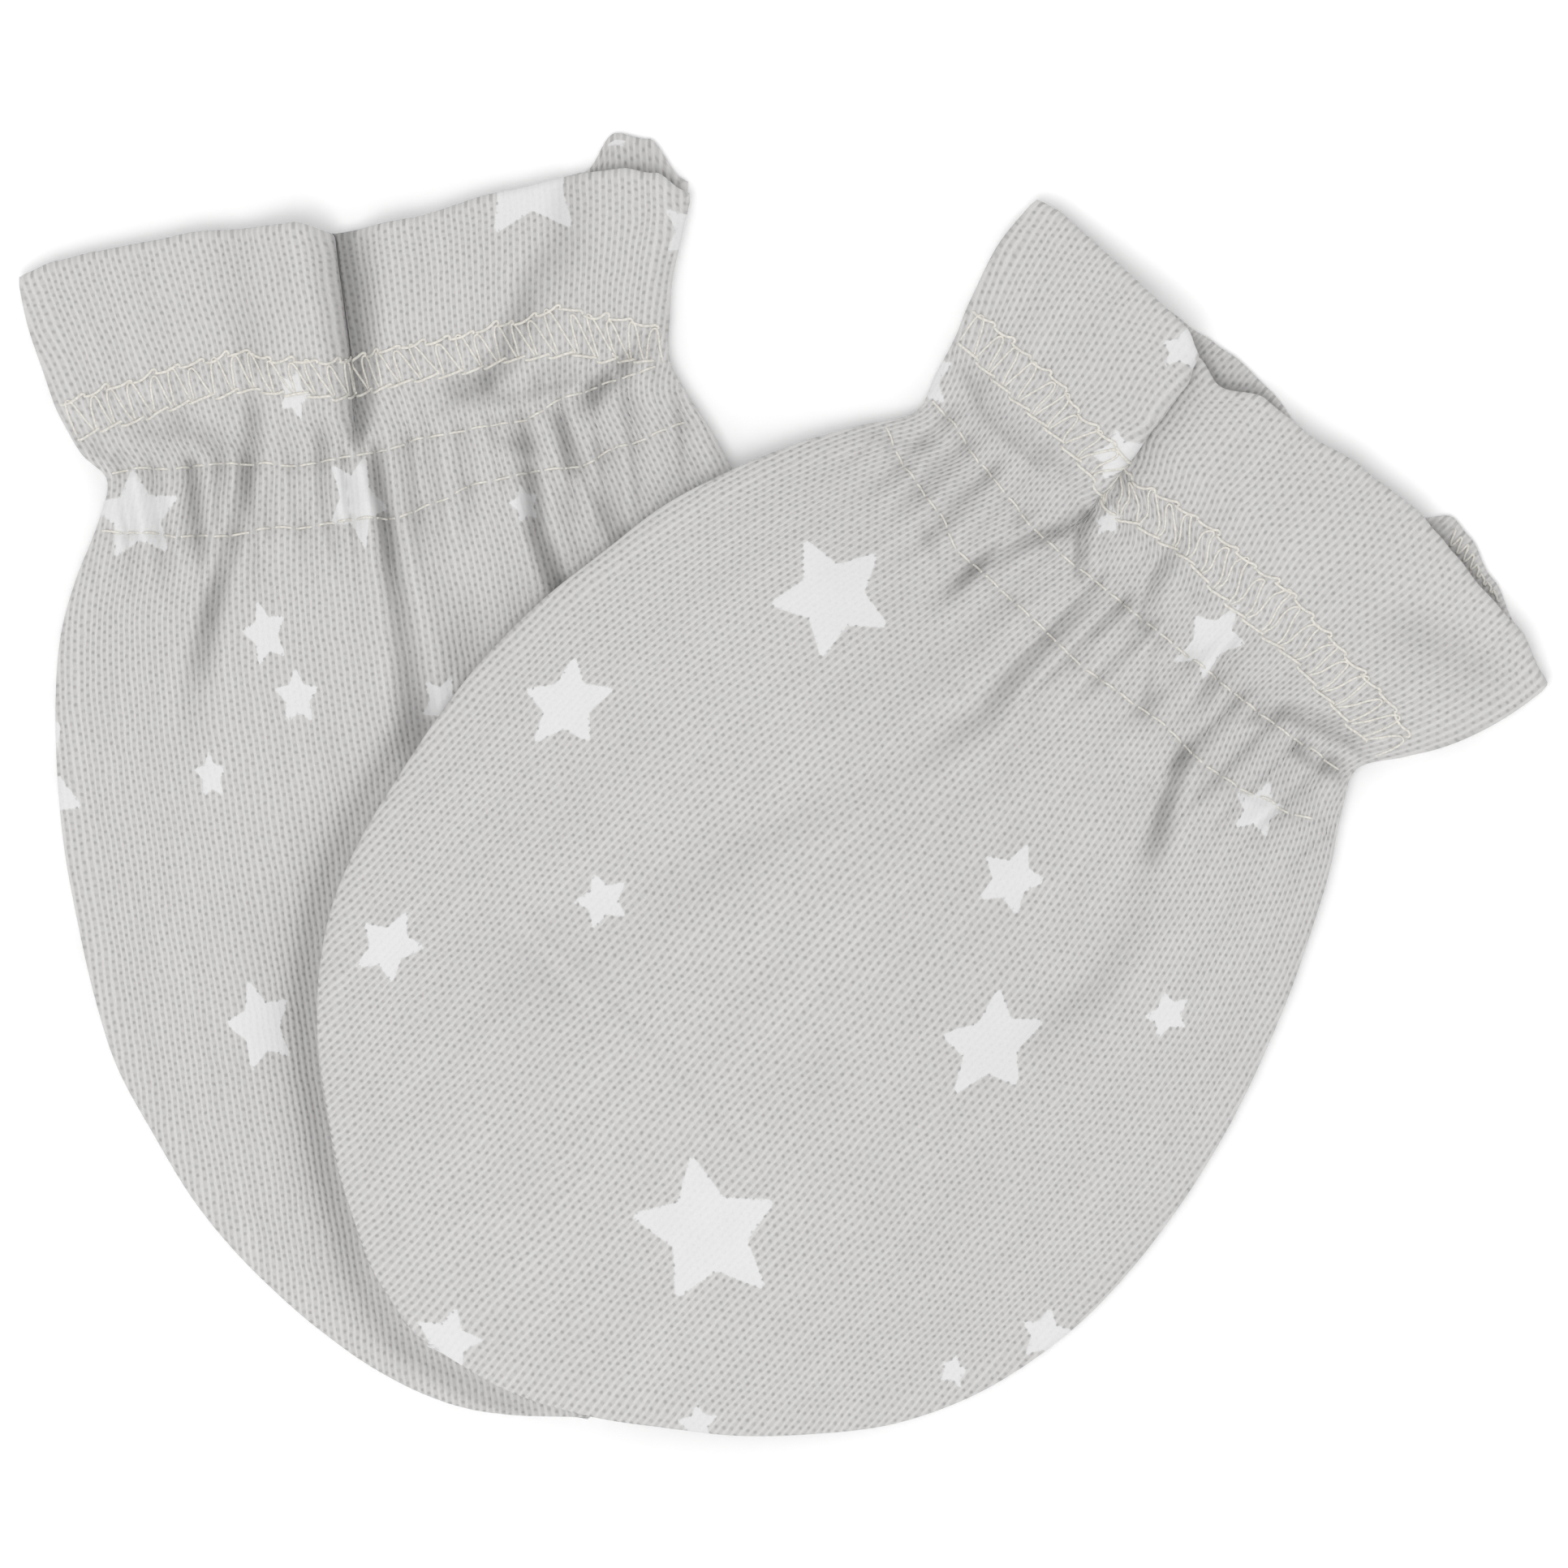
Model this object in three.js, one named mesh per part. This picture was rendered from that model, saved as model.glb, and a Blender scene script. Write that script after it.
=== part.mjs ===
// A pair of baby mittens in pale grey rib jersey, laid out flat, one resting on the other's edge.
// Each mitten is a back panel and a front panel, sewn together round the hand and open at the cuff.
// Millimetres, +Z up. The origin lies on the ground, below the middle of the pair.
import * as THREE from 'three';

// Cloth and seams
const WALL = 1.0;
const HEM_WALL = 1.3; // the turned hem is two layers, pressed
const HEM_DEPTH = 12; // from the cuff's edge to the cover stitch
const HEM_EASE = 3; // length over which the hem's wall thins to one layer
const SEAM_GAP = 0.3;
const SEAM_HEIGHT = 1.5; // the side seam's middle, above the surface that the mitten lies on

// Rounding of the panels at the side seam
const ROLL_WIDTH = 2.4;
const ROLL_RISE = 1.1;
const CURL_WIDTH = 2.0;
const PUFF_WIDTH = 16;

// The cuff's edge bows away from a straight line, down to this depth
const BOW_DEPTH = 20;

// Wrist, gathered on two rows of elastic thread
const ELASTIC_UPPER = 21.5;
const ELASTIC_LOWER = 28;
const GATHER_PITCH = 4.3;
const GATHER_HEIGHT = 0.28;
const GATHER_EASE = 4.5; // how far above and below the elastic the gathers run

// Cuff pleat: the cloth turns over by an angle and back again on bends of this radius
const PLEAT_RADIUS = 0.82;
const PLEAT_UP = 0.72; // share of the pleat's height that lifts the upper side
const PLEAT_EASE_UPPER = 8;
const PLEAT_EASE_LOWER = 5;

// How the upper mitten lies over the lower one
const DRAPE_HEIGHT = 4.15;
const DRAPE_OUTSIDE = 22;
const DRAPE_INSIDE = 2.5;
const PRESS_EASE = 8;
const PRESSED_LOFT = 0.05;

// Mesh density
const WRIST_COLUMNS = 56;
const BODY_COLUMNS = 28;
const BACK_COLUMNS = 20;
const WRIST_SECTIONS = 9; // sections from the cuff down to the end of the gathers
const PLEAT_COLUMNS = 18;
const PLEAT_SPAN = 5;

const CLOTH_COLOUR = 0xcdcbca;

const table = (names, rows) =>
  rows.map((row) => Object.fromEntries(names.map((name, i) => [name, row[i]])));

// Across is measured from the mitten's axis, to the right with the cuff at the top,
// and below from the cuff's line, towards the tip. Loft is how far the cloth puffs up.
const SECTION = ['below', 'left', 'right', 'loft'];
const BOW = ['at', 'front', 'back'];
const PLEAT = ['below', 'across', 'turn', 'under'];
const FOLD = ['name', 'below', 'across', 'toBelow', 'toAcross', 'bend', 'leftWidth', 'rightWidth', 'depth'];

const lower = {
  name: 'lower_mitten',
  cuff: { x: -40.81, y: 52.6 },
  heading: 98.7,
  sections: table(SECTION, [
    [0, 32.0, 31.9, 0.5],
    [4.5, 31.8, 30.6, 0.8],
    [9, 31.0, 29.0, 0.9],
    [13.5, 30.1, 28.1, 0.7],
    [17, 28.8, 27.8, 0.5],
    [20, 26.7, 28.8, 0.3],
    [24, 28.2, 30.6, 0.3],
    [29, 31.1, 32.4, 0.5],
    [34, 33.3, 33.9, 0.8],
    [40, 34.7, 35.0, 1.0],
    [47, 35.6, 35.7, 1.1],
    [54, 36.0, 36.0, 1.2],
    [61, 35.8, 36.0, 1.2],
    [68, 35.3, 35.8, 1.2],
    [75, 34.2, 35.4, 1.1],
    [82, 31.7, 34.6, 1.1],
    [88.5, 29.0, 33.2, 1.0],
    [94, 25.8, 31.2, 0.9],
    [99, 22.1, 28.6, 0.8],
    [103, 18.6, 25.8, 0.8],
    [107, 14.4, 22.2, 0.7],
    [110.5, 9.4, 18.0, 0.6],
    [113.3, 3.2, 13.6, 0.5],
    [114.9, -4.4, 9.2, 0.4],
  ]),
  bow: table(BOW, [
    [-1, 0, 0],
    [-0.9, 1.3, 0.8],
    [-0.78, 2.0, 1.4],
    [-0.6, 2.4, 1.8],
    [-0.48, 2.8, 2.0],
    [-0.3, 2.5, 1.6],
    [-0.18, 2.2, 1.0],
    [-0.05, 0.3, 0],
    [0.16, 0.6, 0],
    [0.46, 1.8, 1.2],
    [0.7, 2.4, 2.6],
    [0.8, 2.3, 5.5],
    [0.9, 1.2, 4.0],
    [1, -1.0, -0.2],
  ]),
  pleat: table(PLEAT, [
    [-4, -2.4, 92, 0.6],
    [5, -2.6, 92, 0.6],
    [9, -2.7, 90, 0.5],
    [15, -2.9, 78, 0.3],
    [18, -3.2, 50, 0.1],
    [21, -3.7, 0, 0],
    [130, -3.7, 0, 0],
  ]),
  folds: table(FOLD, [
    ['left_long', 15, -11.6, 46.4, -21.4, 0.9, 1.4, 2.0, 0.95],
    ['left_short', 17.7, -15.3, 25.4, -16.3, 0, 1.2, 1.2, 0.4],
    ['left_middle', 20.7, -6.0, 30.1, -5.8, -0.3, 1.2, 1.4, 0.5],
    ['middle_long', 21, -1.5, 51.4, -3.5, 1.0, 1.3, 1.9, 1.0],
    ['middle_short', 22.1, 3.3, 34.6, 3.2, -0.2, 1.2, 1.4, 0.6],
    ['middle_wide', 27, 5.4, 38, 4.0, 0, 2.2, 2.4, 0.5],
    ['right_short', 25, 13.6, 36.7, 14.3, -0.5, 1.2, 1.4, 0.8],
    ['right_slant', 20, 17.5, 32.6, 20.8, -0.6, 1.2, 1.4, 0.8],
    ['right_rise', 20.2, 19.0, 17.0, 23.6, 0, 1.2, 1.2, 0.5],
    ['cuff_left', -4, -8.6, 11, -10.0, 0, 3.0, 3.0, 0.4],
    ['cuff_right', -4, 21.7, 13.5, 13.2, -0.8, 4.5, 1.5, 0.9],
    ['stitch_band', 14.2, 13.8, 18, 5.5, 0, 1.5, 1.5, 0.4],
    ['stitch_dip_left', 13.5, -18.3, 19, -18.5, 0, 2.0, 2.0, 0.4],
    ['stitch_dip_edge', 15, -25, 19, -25.4, 0, 1.8, 1.8, 0.35],
    ['stitch_dip_middle', 14.5, -7.2, 20.5, -7.0, 0, 1.8, 1.8, 0.4],
  ]),
  backFolds: table(FOLD, [
    ['left', 20, -14.5, 41, -18.5, 0.5, 1.6, 1.6, 0.7],
    ['left_middle', 21, -8, 33, -8.6, 0, 1.4, 1.6, 0.5],
    ['middle', 19, 2.2, 46, 4.0, -0.6, 1.6, 1.6, 0.7],
    ['right_middle', 21, 9.4, 34, 11.0, 0.3, 1.4, 1.6, 0.5],
    ['right', 20, 18.4, 38, 22.4, 0.4, 1.6, 1.6, 0.6],
  ]),
};

const upper = {
  name: 'upper_mitten',
  cuff: { x: 48.19, y: 32.5 },
  heading: 46.9,
  sections: table(SECTION, [
    [0, 33.3, 33.4, 0.5],
    [5, 33.0, 32.6, 0.8],
    [10, 31.6, 30.8, 0.9],
    [14.5, 30.1, 28.2, 0.7],
    [18.5, 29.0, 25.7, 0.4],
    [22.5, 28.0, 27.4, 0.3],
    [27, 30.9, 30.2, 0.4],
    [32, 33.9, 32.7, 0.6],
    [38, 36.7, 35.4, 0.9],
    [45, 39.2, 38.0, 1.1],
    [52, 40.4, 40.1, 1.2],
    [60, 41.6, 41.7, 1.3],
    [68, 41.8, 42.5, 1.3],
    [75, 41.1, 42.4, 1.2],
    [82, 39.9, 41.2, 1.2],
    [88, 38.6, 39.2, 1.1],
    [94, 36.4, 35.9, 1.0],
    [99.5, 33.0, 31.2, 0.9],
    [104.5, 28.5, 26.0, 0.8],
    [108.5, 23.6, 20.6, 0.7],
    [112, 18.8, 15.6, 0.6],
    [114.8, 13.8, 10.6, 0.5],
    [117, 9.8, 5.6, 0.4],
    [118.5, 4.6, -0.8, 0.3],
  ]),
  bow: table(BOW, [
    [-1, 0, -0.4],
    [-0.93, 0.8, 0.2],
    [-0.64, 1.4, 1.0],
    [-0.45, 1.5, 1.8],
    [-0.36, 0.4, 2.4],
    [-0.27, -0.4, 2.7],
    [-0.14, 1.6, 2.5],
    [0, 1.9, 1.7],
    [0.2, 3.1, 2.2],
    [0.4, 3.8, 3.2],
    [0.49, 3.5, 5.6],
    [0.56, 3.2, 5.2],
    [0.69, 2.5, 3.9],
    [0.84, 2.0, 2.1],
    [1, 0, 0.2],
  ]),
  pleat: table(PLEAT, [
    [-4, -16.2, 174, 3.4],
    [0, -14.8, 174, 3.4],
    [3, -13.9, 174, 3.4],
    [8, -13.3, 172, 3.2],
    [12, -12.1, 155, 2.4],
    [15, -10.6, 120, 1.2],
    [18.5, -9.9, 60, 0.3],
    [22, -10.4, 0, 0],
    [130, -10.4, 0, 0],
  ]),
  folds: table(FOLD, [
    ['pleat_tail', 19.5, -9.8, 34.5, -14.4, -0.7, 1.2, 1.7, 0.9],
    ['pleat_branch', 18.8, -8.6, 23, -6.4, 0, 1.1, 1.2, 0.6],
    ['middle_long', 22, -4.6, 39.6, -3.5, 0.4, 1.3, 1.5, 1.0],
    ['middle_soft', 38, -3.4, 61, -8.2, -0.6, 3.0, 3.2, 0.6],
    ['middle_rise', 15.5, -0.8, 23, 1.5, 0, 1.2, 1.2, 0.5],
    ['right_rise', 16.5, 8.8, 26.5, 10.5, -0.2, 1.3, 1.4, 0.5],
    ['right_long', 24.5, 9.8, 40, 18.8, -0.8, 1.4, 1.9, 1.0],
    ['right_soft', 38, 18.2, 51, 19.8, 0.8, 2.6, 2.8, 0.45],
    ['right_edge', 21.0, 17.2, 18.8, 25.6, 0, 1.4, 1.4, 0.8],
    ['right_wales', 19.9, 14.6, 15.6, 24.4, 0, 1.3, 1.3, 0.4],
    ['cuff_soft', -4, -1.9, 13, 0, 0, 3.0, 3.0, 0.5],
    ['cuff_tail', 11.5, -0.2, 19, 1.3, 0, 1.3, 1.3, 0.6],
    ['left_soft', 15, -27.2, 22, -19.6, 0, 2.0, 2.0, 0.5],
    ['left_edge', 26.4, -27.6, 22.2, -27.8, 0, 1.2, 1.2, 0.4],
  ]),
  backFolds: table(FOLD, [
    ['left', 20, -17.5, 42, -22.5, 0.5, 1.6, 1.6, 0.7],
    ['left_middle', 21, -10, 34, -11.4, 0, 1.4, 1.6, 0.5],
    ['middle', 19, -1.2, 47, 1.0, 0.6, 1.6, 1.6, 0.7],
    ['right_middle', 21, 6.6, 34, 8.2, 0.3, 1.4, 1.6, 0.5],
    ['right', 20, 14.8, 39, 20.6, -0.4, 1.6, 1.6, 0.6],
  ]),
};

const clamp = (value, low, high) => Math.min(Math.max(value, low), high);
const smooth = (value) => {
  const t = clamp(value, 0, 1);
  return t * t * (3 - 2 * t);
};
const mix = (a, b, t) => a + (b - a) * t;

// The larger of two heights, rounded where they cross
const ROUNDING = 0.25;
const softMax = (a, b) => (a + b + Math.hypot(a - b, ROUNDING)) / 2;

// A smooth curve through the table's rows, by row number
function sampleRows(rows, position) {
  const index = clamp(Math.floor(position), 0, rows.length - 2);
  const t = position - index;
  const before = rows[Math.max(index - 1, 0)];
  const start = rows[index];
  const end = rows[index + 1];
  const after = rows[Math.min(index + 2, rows.length - 1)];
  const blend = (key) => {
    const slopeStart = (end[key] - before[key]) / 2;
    const slopeEnd = (after[key] - start[key]) / 2;
    const a = 2 * (start[key] - end[key]) + slopeStart + slopeEnd;
    const b = 3 * (end[key] - start[key]) - 2 * slopeStart - slopeEnd;
    return ((a * t + b) * t + slopeStart) * t + start[key];
  };
  return Object.fromEntries(Object.keys(start).map((key) => [key, blend(key)]));
}

// Values between the table's rows, eased, by one of its columns
function sampleBy(rows, key, value) {
  let index = 0;
  while (index < rows.length - 2 && rows[index + 1][key] < value) {
    index += 1;
  }
  const start = rows[index];
  const end = rows[index + 1];
  const t = smooth((value - start[key]) / (end[key] - start[key]));
  return Object.fromEntries(Object.keys(start).map((name) => [name, mix(start[name], end[name], t)]));
}

function toWorld(mitten, below, across) {
  const angle = THREE.MathUtils.degToRad(mitten.heading);
  const along = { x: Math.cos(angle), y: Math.sin(angle) };
  return {
    x: mitten.cuff.x - along.x * below + along.y * across,
    y: mitten.cuff.y - along.y * below - along.x * across,
  };
}

// How far the cuff's edge stands beyond its straight line, at a place from -1 to 1 across
function bow(mitten, side, place, below) {
  const fade = clamp(1 - below / BOW_DEPTH, 0, 1);
  return sampleBy(mitten.bow, 'at', place)[side] * fade * fade;
}

// The seam line, from the left end of the cuff round the tip to the right end
function seamLine(mitten) {
  const steps = (mitten.sections.length - 1) * 3;
  const left = [];
  const right = [];
  for (let i = 0; i <= steps; i += 1) {
    const section = sampleRows(mitten.sections, i / 3);
    left.push({ below: section.below - bow(mitten, 'front', -1, section.below), across: -section.left });
    right.push({ below: section.below - bow(mitten, 'front', 1, section.below), across: section.right });
  }
  return left.concat(right.reverse());
}

function distanceToLine(line, x, y) {
  let nearest = Infinity;
  for (let i = 0; i + 1 < line.length; i += 1) {
    const dx = line[i + 1].x - line[i].x;
    const dy = line[i + 1].y - line[i].y;
    const t = clamp(((x - line[i].x) * dx + (y - line[i].y) * dy) / (dx * dx + dy * dy), 0, 1);
    nearest = Math.min(nearest, Math.hypot(x - line[i].x - t * dx, y - line[i].y - t * dy));
  }
  return nearest;
}

function isInside(loop, x, y) {
  let inside = false;
  for (let i = 0, j = loop.length - 1; i < loop.length; j = i, i += 1) {
    const crosses = loop[i].y > y !== loop[j].y > y;
    if (crosses && x < ((loop[j].x - loop[i].x) * (y - loop[i].y)) / (loop[j].y - loop[i].y) + loop[i].x) {
      inside = !inside;
    }
  }
  return inside;
}

// Distance from a closed outline, positive inside
function depthInside(loop, x, y) {
  const distance = distanceToLine(loop.concat([loop[0]]), x, y);
  return isInside(loop, x, y) ? distance : -distance;
}

for (const mitten of [lower, upper]) {
  mitten.seam = seamLine(mitten).map(({ below, across }) => toWorld(mitten, below, across));
}

const wallAt = (below) => mix(HEM_WALL, WALL, smooth((below - HEM_DEPTH) / HEM_EASE));

// Depth of the folds at a place: each is a soft trough along a bent line
function foldDepth(folds, below, across) {
  let depth = 0;
  for (const fold of folds) {
    const length = Math.hypot(fold.toBelow - fold.below, fold.toAcross - fold.across);
    const ux = (fold.toBelow - fold.below) / length;
    const uy = (fold.toAcross - fold.across) / length;
    const t = ((below - fold.below) * ux + (across - fold.across) * uy) / length;
    const chord = (across - fold.across) * ux - (below - fold.below) * uy;
    const aside = chord - fold.bend * 4 * t * (1 - t);
    const width = aside < 0 ? fold.leftWidth : fold.rightWidth;
    const taper = smooth(t / 0.2) * smooth((1 - t) / 0.45);
    depth += fold.depth * taper * Math.exp(-((aside / width) ** 2));
  }
  return depth;
}

// Small gathers that the elastic rows pull together
function gathers(below, across) {
  const band = smooth((below - ELASTIC_UPPER + GATHER_EASE) / GATHER_EASE)
    * smooth((ELASTIC_LOWER + GATHER_EASE - below) / GATHER_EASE);
  const wander = 0.9 * Math.sin(across * 0.31) + 0.5 * Math.sin(across * 0.83 + 1);
  return GATHER_HEIGHT * band * Math.sin((2 * Math.PI * (across + wander)) / GATHER_PITCH);
}

function pressure(mitten, x, y) {
  if (mitten !== lower) {
    return 0;
  }
  return smooth(1 + depthInside(upper.seam, x, y) / PRESS_EASE);
}

function groundUnder(mitten, x, y) {
  if (mitten !== upper) {
    return 0;
  }
  const inside = depthInside(lower.seam, x, y);
  return DRAPE_HEIGHT * smooth((inside + DRAPE_OUTSIDE) / (DRAPE_OUTSIDE + DRAPE_INSIDE));
}

// Heights of each panel's middle above the surface that the mitten lies on
function backHeight(mitten, below, across, inset) {
  const wall = wallAt(below);
  const flat = wall / 2;
  const edge = SEAM_HEIGHT - SEAM_GAP / 2 - wall / 2;
  const curl = 1 - Math.sin((Math.PI / 2) * clamp(inset / CURL_WIDTH, 0, 1));
  return mix(flat, edge, curl) + foldDepth(mitten.backFolds, below, across) * smooth(inset / 4);
}

function frontHeight(mitten, below, across, inset, loft, press) {
  const wall = wallAt(below);
  const edge = SEAM_HEIGHT + SEAM_GAP / 2 + wall / 2;
  const roll = ROLL_RISE * Math.sin((Math.PI / 2) * clamp(inset / ROLL_WIDTH, 0, 1));
  const puff = mix(loft, PRESSED_LOFT, press) * smooth(inset / PUFF_WIDTH);
  const relief = gathers(below, across) - foldDepth(mitten.folds, below, across);
  return edge + roll + puff + relief * (1 - press) * smooth(inset / 3.5);
}

// The pleat's path: it bends down by the turn, runs under, and bends back
function pleatPath(turn, under, distance) {
  const bend = PLEAT_RADIUS * turn;
  if (distance < bend) {
    const angle = distance / PLEAT_RADIUS;
    return { across: PLEAT_RADIUS * Math.sin(angle), drop: PLEAT_RADIUS * (1 - Math.cos(angle)) };
  }
  const straight = clamp(distance - bend, 0, under);
  const rest = clamp(distance - bend - under, 0, bend);
  const angle = turn - rest / PLEAT_RADIUS;
  return {
    across: PLEAT_RADIUS * (2 * Math.sin(turn) - Math.sin(angle)) + straight * Math.cos(turn),
    drop: PLEAT_RADIUS * (1 - 2 * Math.cos(turn) + Math.cos(angle)) + straight * Math.sin(turn),
  };
}

// One point across a front panel's row: where the cloth lies, and how far the pleat lifts it
function layPleat(mitten, section, share) {
  const pleat = sampleBy(mitten.pleat, 'below', section.below);
  const turn = THREE.MathUtils.degToRad(Math.max(pleat.turn, 0));
  const length = 2 * PLEAT_RADIUS * turn + pleat.under;
  const full = pleatPath(turn, pleat.under, length);
  const hidden = length - full.across;
  const start = section.left + pleat.across - full.across / 2;
  const cloth = share * (section.left + section.right + hidden);
  const up = PLEAT_UP * full.drop;
  if (cloth < start) {
    const ease = Math.exp(-(((start - cloth) / PLEAT_EASE_UPPER) ** 2));
    return { across: cloth - section.left, lift: up * ease };
  }
  if (cloth < start + length) {
    const path = pleatPath(turn, pleat.under, cloth - start);
    return { across: start + path.across - section.left, lift: up - path.drop };
  }
  const ease = Math.exp(-(((cloth - start - length) / PLEAT_EASE_LOWER) ** 2));
  return { across: cloth - hidden - section.left, lift: (up - full.drop) * ease };
}

// Shares of the row at which the columns stand, closer together at the pleat
function columnShares(mitten, side, count) {
  if (side === 'back') {
    return Array.from({ length: count + 1 }, (_, i) => i / count);
  }
  const cuff = mitten.sections[0];
  const pleat = mitten.pleat[1];
  const width = cuff.left + cuff.right + 2 * pleat.under;
  const middle = (cuff.left + pleat.across + pleat.under) / width;
  const half = PLEAT_SPAN / width;
  const around = count - PLEAT_COLUMNS * (count / WRIST_COLUMNS);
  const before = 2 * Math.round((around * (middle - half)) / (1 - 2 * half) / 2);
  const within = PLEAT_COLUMNS * (count / WRIST_COLUMNS);
  return Array.from({ length: count + 1 }, (_, i) => {
    if (i <= before) {
      return (i / before) * (middle - half);
    }
    if (i <= before + within) {
      return middle - half + (2 * half * (i - before)) / within;
    }
    return middle + half + ((1 - middle - half) * (i - before - within)) / (count - before - within);
  });
}

function panelPoint(mitten, side, section, share) {
  const laid = side === 'front'
    ? layPleat(mitten, section, share)
    : { across: share * (section.left + section.right) - section.left, lift: 0 };
  const half = (section.left + section.right) / 2;
  const place = clamp((laid.across - (section.right - section.left) / 2) / half, -1, 1);
  const below = section.below - bow(mitten, side, place, section.below);
  const { x, y } = toWorld(mitten, below, laid.across);
  const inset = distanceToLine(mitten.seam, x, y);
  const back = backHeight(mitten, below, laid.across, inset);
  let height = back;
  if (side === 'front') {
    const press = pressure(mitten, x, y);
    const front = frontHeight(mitten, below, laid.across, inset, section.loft, press);
    height = softMax(front + laid.lift * smooth(inset / 6), back + wallAt(below) + SEAM_GAP);
  }
  return new THREE.Vector3(x, y, height + groundUnder(mitten, x, y));
}

function panelRows(mitten, side) {
  const last = mitten.sections.length - 1;
  const rows = [];
  const add = (position, columns) => {
    const section = sampleRows(mitten.sections, position);
    const shares = columnShares(mitten, side, columns);
    rows.push({
      wall: wallAt(section.below),
      points: shares.map((share) => panelPoint(mitten, side, section, share)),
    });
  };
  if (side === 'back') {
    for (let i = 0; i <= last; i += 1) {
      add(i, BACK_COLUMNS);
    }
    return rows;
  }
  for (let i = 0; i < WRIST_SECTIONS * 2; i += 1) {
    add(i / 2, WRIST_COLUMNS);
  }
  for (let i = WRIST_SECTIONS; i <= last; i += 1) {
    add(i, BODY_COLUMNS);
  }
  return rows;
}

function rowPoint(row, share) {
  const position = share * (row.points.length - 1);
  const index = Math.min(Math.floor(position), row.points.length - 2);
  return row.points[index].clone().lerp(row.points[index + 1], position - index);
}

// The cloth's outer side at each point, square to its neighbours along and across
function rowNormals(rows, index) {
  const row = rows[index];
  const count = row.points.length - 1;
  const above = rows[Math.max(index - 1, 0)];
  const under = rows[Math.min(index + 1, rows.length - 1)];
  return row.points.map((_, i) => {
    const across = row.points[Math.min(i + 1, count)].clone().sub(row.points[Math.max(i - 1, 0)]);
    const along = rowPoint(above, i / count).sub(rowPoint(under, i / count));
    return across.cross(along).normalize();
  });
}

// A closed wall: the rows moved out by half the wall, the same rows moved in, and the rim between
function panelGeometry(rows) {
  const outer = [];
  const inner = [];
  const starts = [];
  rows.forEach((row, r) => {
    starts.push(outer.length);
    const normals = rowNormals(rows, r);
    row.points.forEach((point, i) => {
      outer.push(point.clone().addScaledVector(normals[i], row.wall / 2));
      inner.push(point.clone().addScaledVector(normals[i], -row.wall / 2));
    });
  });
  const total = outer.length;
  const triangles = [];
  const both = (a, b, c) => triangles.push(a, b, c, a + total, c + total, b + total);
  for (let r = 0; r + 1 < rows.length; r += 1) {
    const count = rows[r + 1].points.length - 1;
    const fine = (rows[r].points.length - 1) / count;
    for (let i = 0; i < count; i += 1) {
      const top = starts[r] + i * fine;
      const bottom = starts[r + 1] + i;
      both(top, bottom, bottom + 1);
      if (fine === 2) {
        both(top, bottom + 1, top + 1);
        both(top + 1, bottom + 1, top + 2);
      } else {
        both(top, bottom + 1, top + 1);
      }
    }
  }
  const size = (r) => rows[r].points.length;
  const rim = [];
  for (let r = 0; r < rows.length; r += 1) {
    rim.push(starts[r]);
  }
  const end = rows.length - 1;
  for (let i = 1; i < size(end); i += 1) {
    rim.push(starts[end] + i);
  }
  for (let r = end - 1; r >= 0; r -= 1) {
    rim.push(starts[r] + size(r) - 1);
  }
  for (let i = size(0) - 2; i > 0; i -= 1) {
    rim.push(starts[0] + i);
  }
  rim.forEach((from, i) => {
    const to = rim[(i + 1) % rim.length];
    triangles.push(from, from + total, to + total, from, to + total, to);
  });
  const geometry = new THREE.BufferGeometry();
  const positions = outer.concat(inner).flatMap((point) => point.toArray());
  geometry.setAttribute('position', new THREE.Float32BufferAttribute(positions, 3));
  geometry.setIndex(triangles);
  geometry.computeVertexNormals();
  return geometry;
}

function makePanel(mitten, side) {
  const material = new THREE.MeshStandardMaterial({ color: CLOTH_COLOUR, roughness: 0.95, metalness: 0 });
  const panel = new THREE.Mesh(panelGeometry(panelRows(mitten, side)), material);
  panel.name = `${mitten.name}_${side}_panel`;
  return panel;
}

const pair = new THREE.Group();
for (const mitten of [lower, upper]) {
  for (const side of ['back', 'front']) {
    pair.add(makePanel(mitten, side));
  }
}

export default pair;
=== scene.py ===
"""Pair of baby mittens in star-printed rib jersey, laid flat, one resting on the other's edge."""
import math

import bpy
import numpy as np
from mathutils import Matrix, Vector


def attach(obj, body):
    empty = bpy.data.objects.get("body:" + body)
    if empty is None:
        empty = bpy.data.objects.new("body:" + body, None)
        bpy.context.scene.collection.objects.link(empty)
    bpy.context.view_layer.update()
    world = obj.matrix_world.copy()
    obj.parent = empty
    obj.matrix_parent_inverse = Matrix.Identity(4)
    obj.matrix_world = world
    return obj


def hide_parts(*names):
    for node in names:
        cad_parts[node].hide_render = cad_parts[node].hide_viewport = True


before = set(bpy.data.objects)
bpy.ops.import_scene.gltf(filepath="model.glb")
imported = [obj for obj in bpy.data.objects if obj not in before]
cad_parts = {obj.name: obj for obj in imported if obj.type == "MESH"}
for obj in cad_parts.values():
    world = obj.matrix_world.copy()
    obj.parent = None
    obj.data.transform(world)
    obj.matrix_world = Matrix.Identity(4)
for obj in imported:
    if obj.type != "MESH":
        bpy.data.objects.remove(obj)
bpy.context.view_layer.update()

bl_info = {
    "name": "Baby mittens",
    "version": (1, 0, 0),
    "blender": (4, 5, 0),
    "location": "View3D > Sidebar > Mittens",
    "description": "Builds a pair of star-printed jersey baby mittens with gathered wrists",
    "category": "Object",
}

MM = 0.001

# Sizes from here on are in millimetres, in the frame's own axes.
WALL = 1.0
HEM_WALL = 1.3
HEM_DEPTH = 12.0
HEM_EASE = 3.0
SEAM_GAP = 0.3
SEAM_HEIGHT = 1.5
CUFF_TRIM = 0.7

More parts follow.
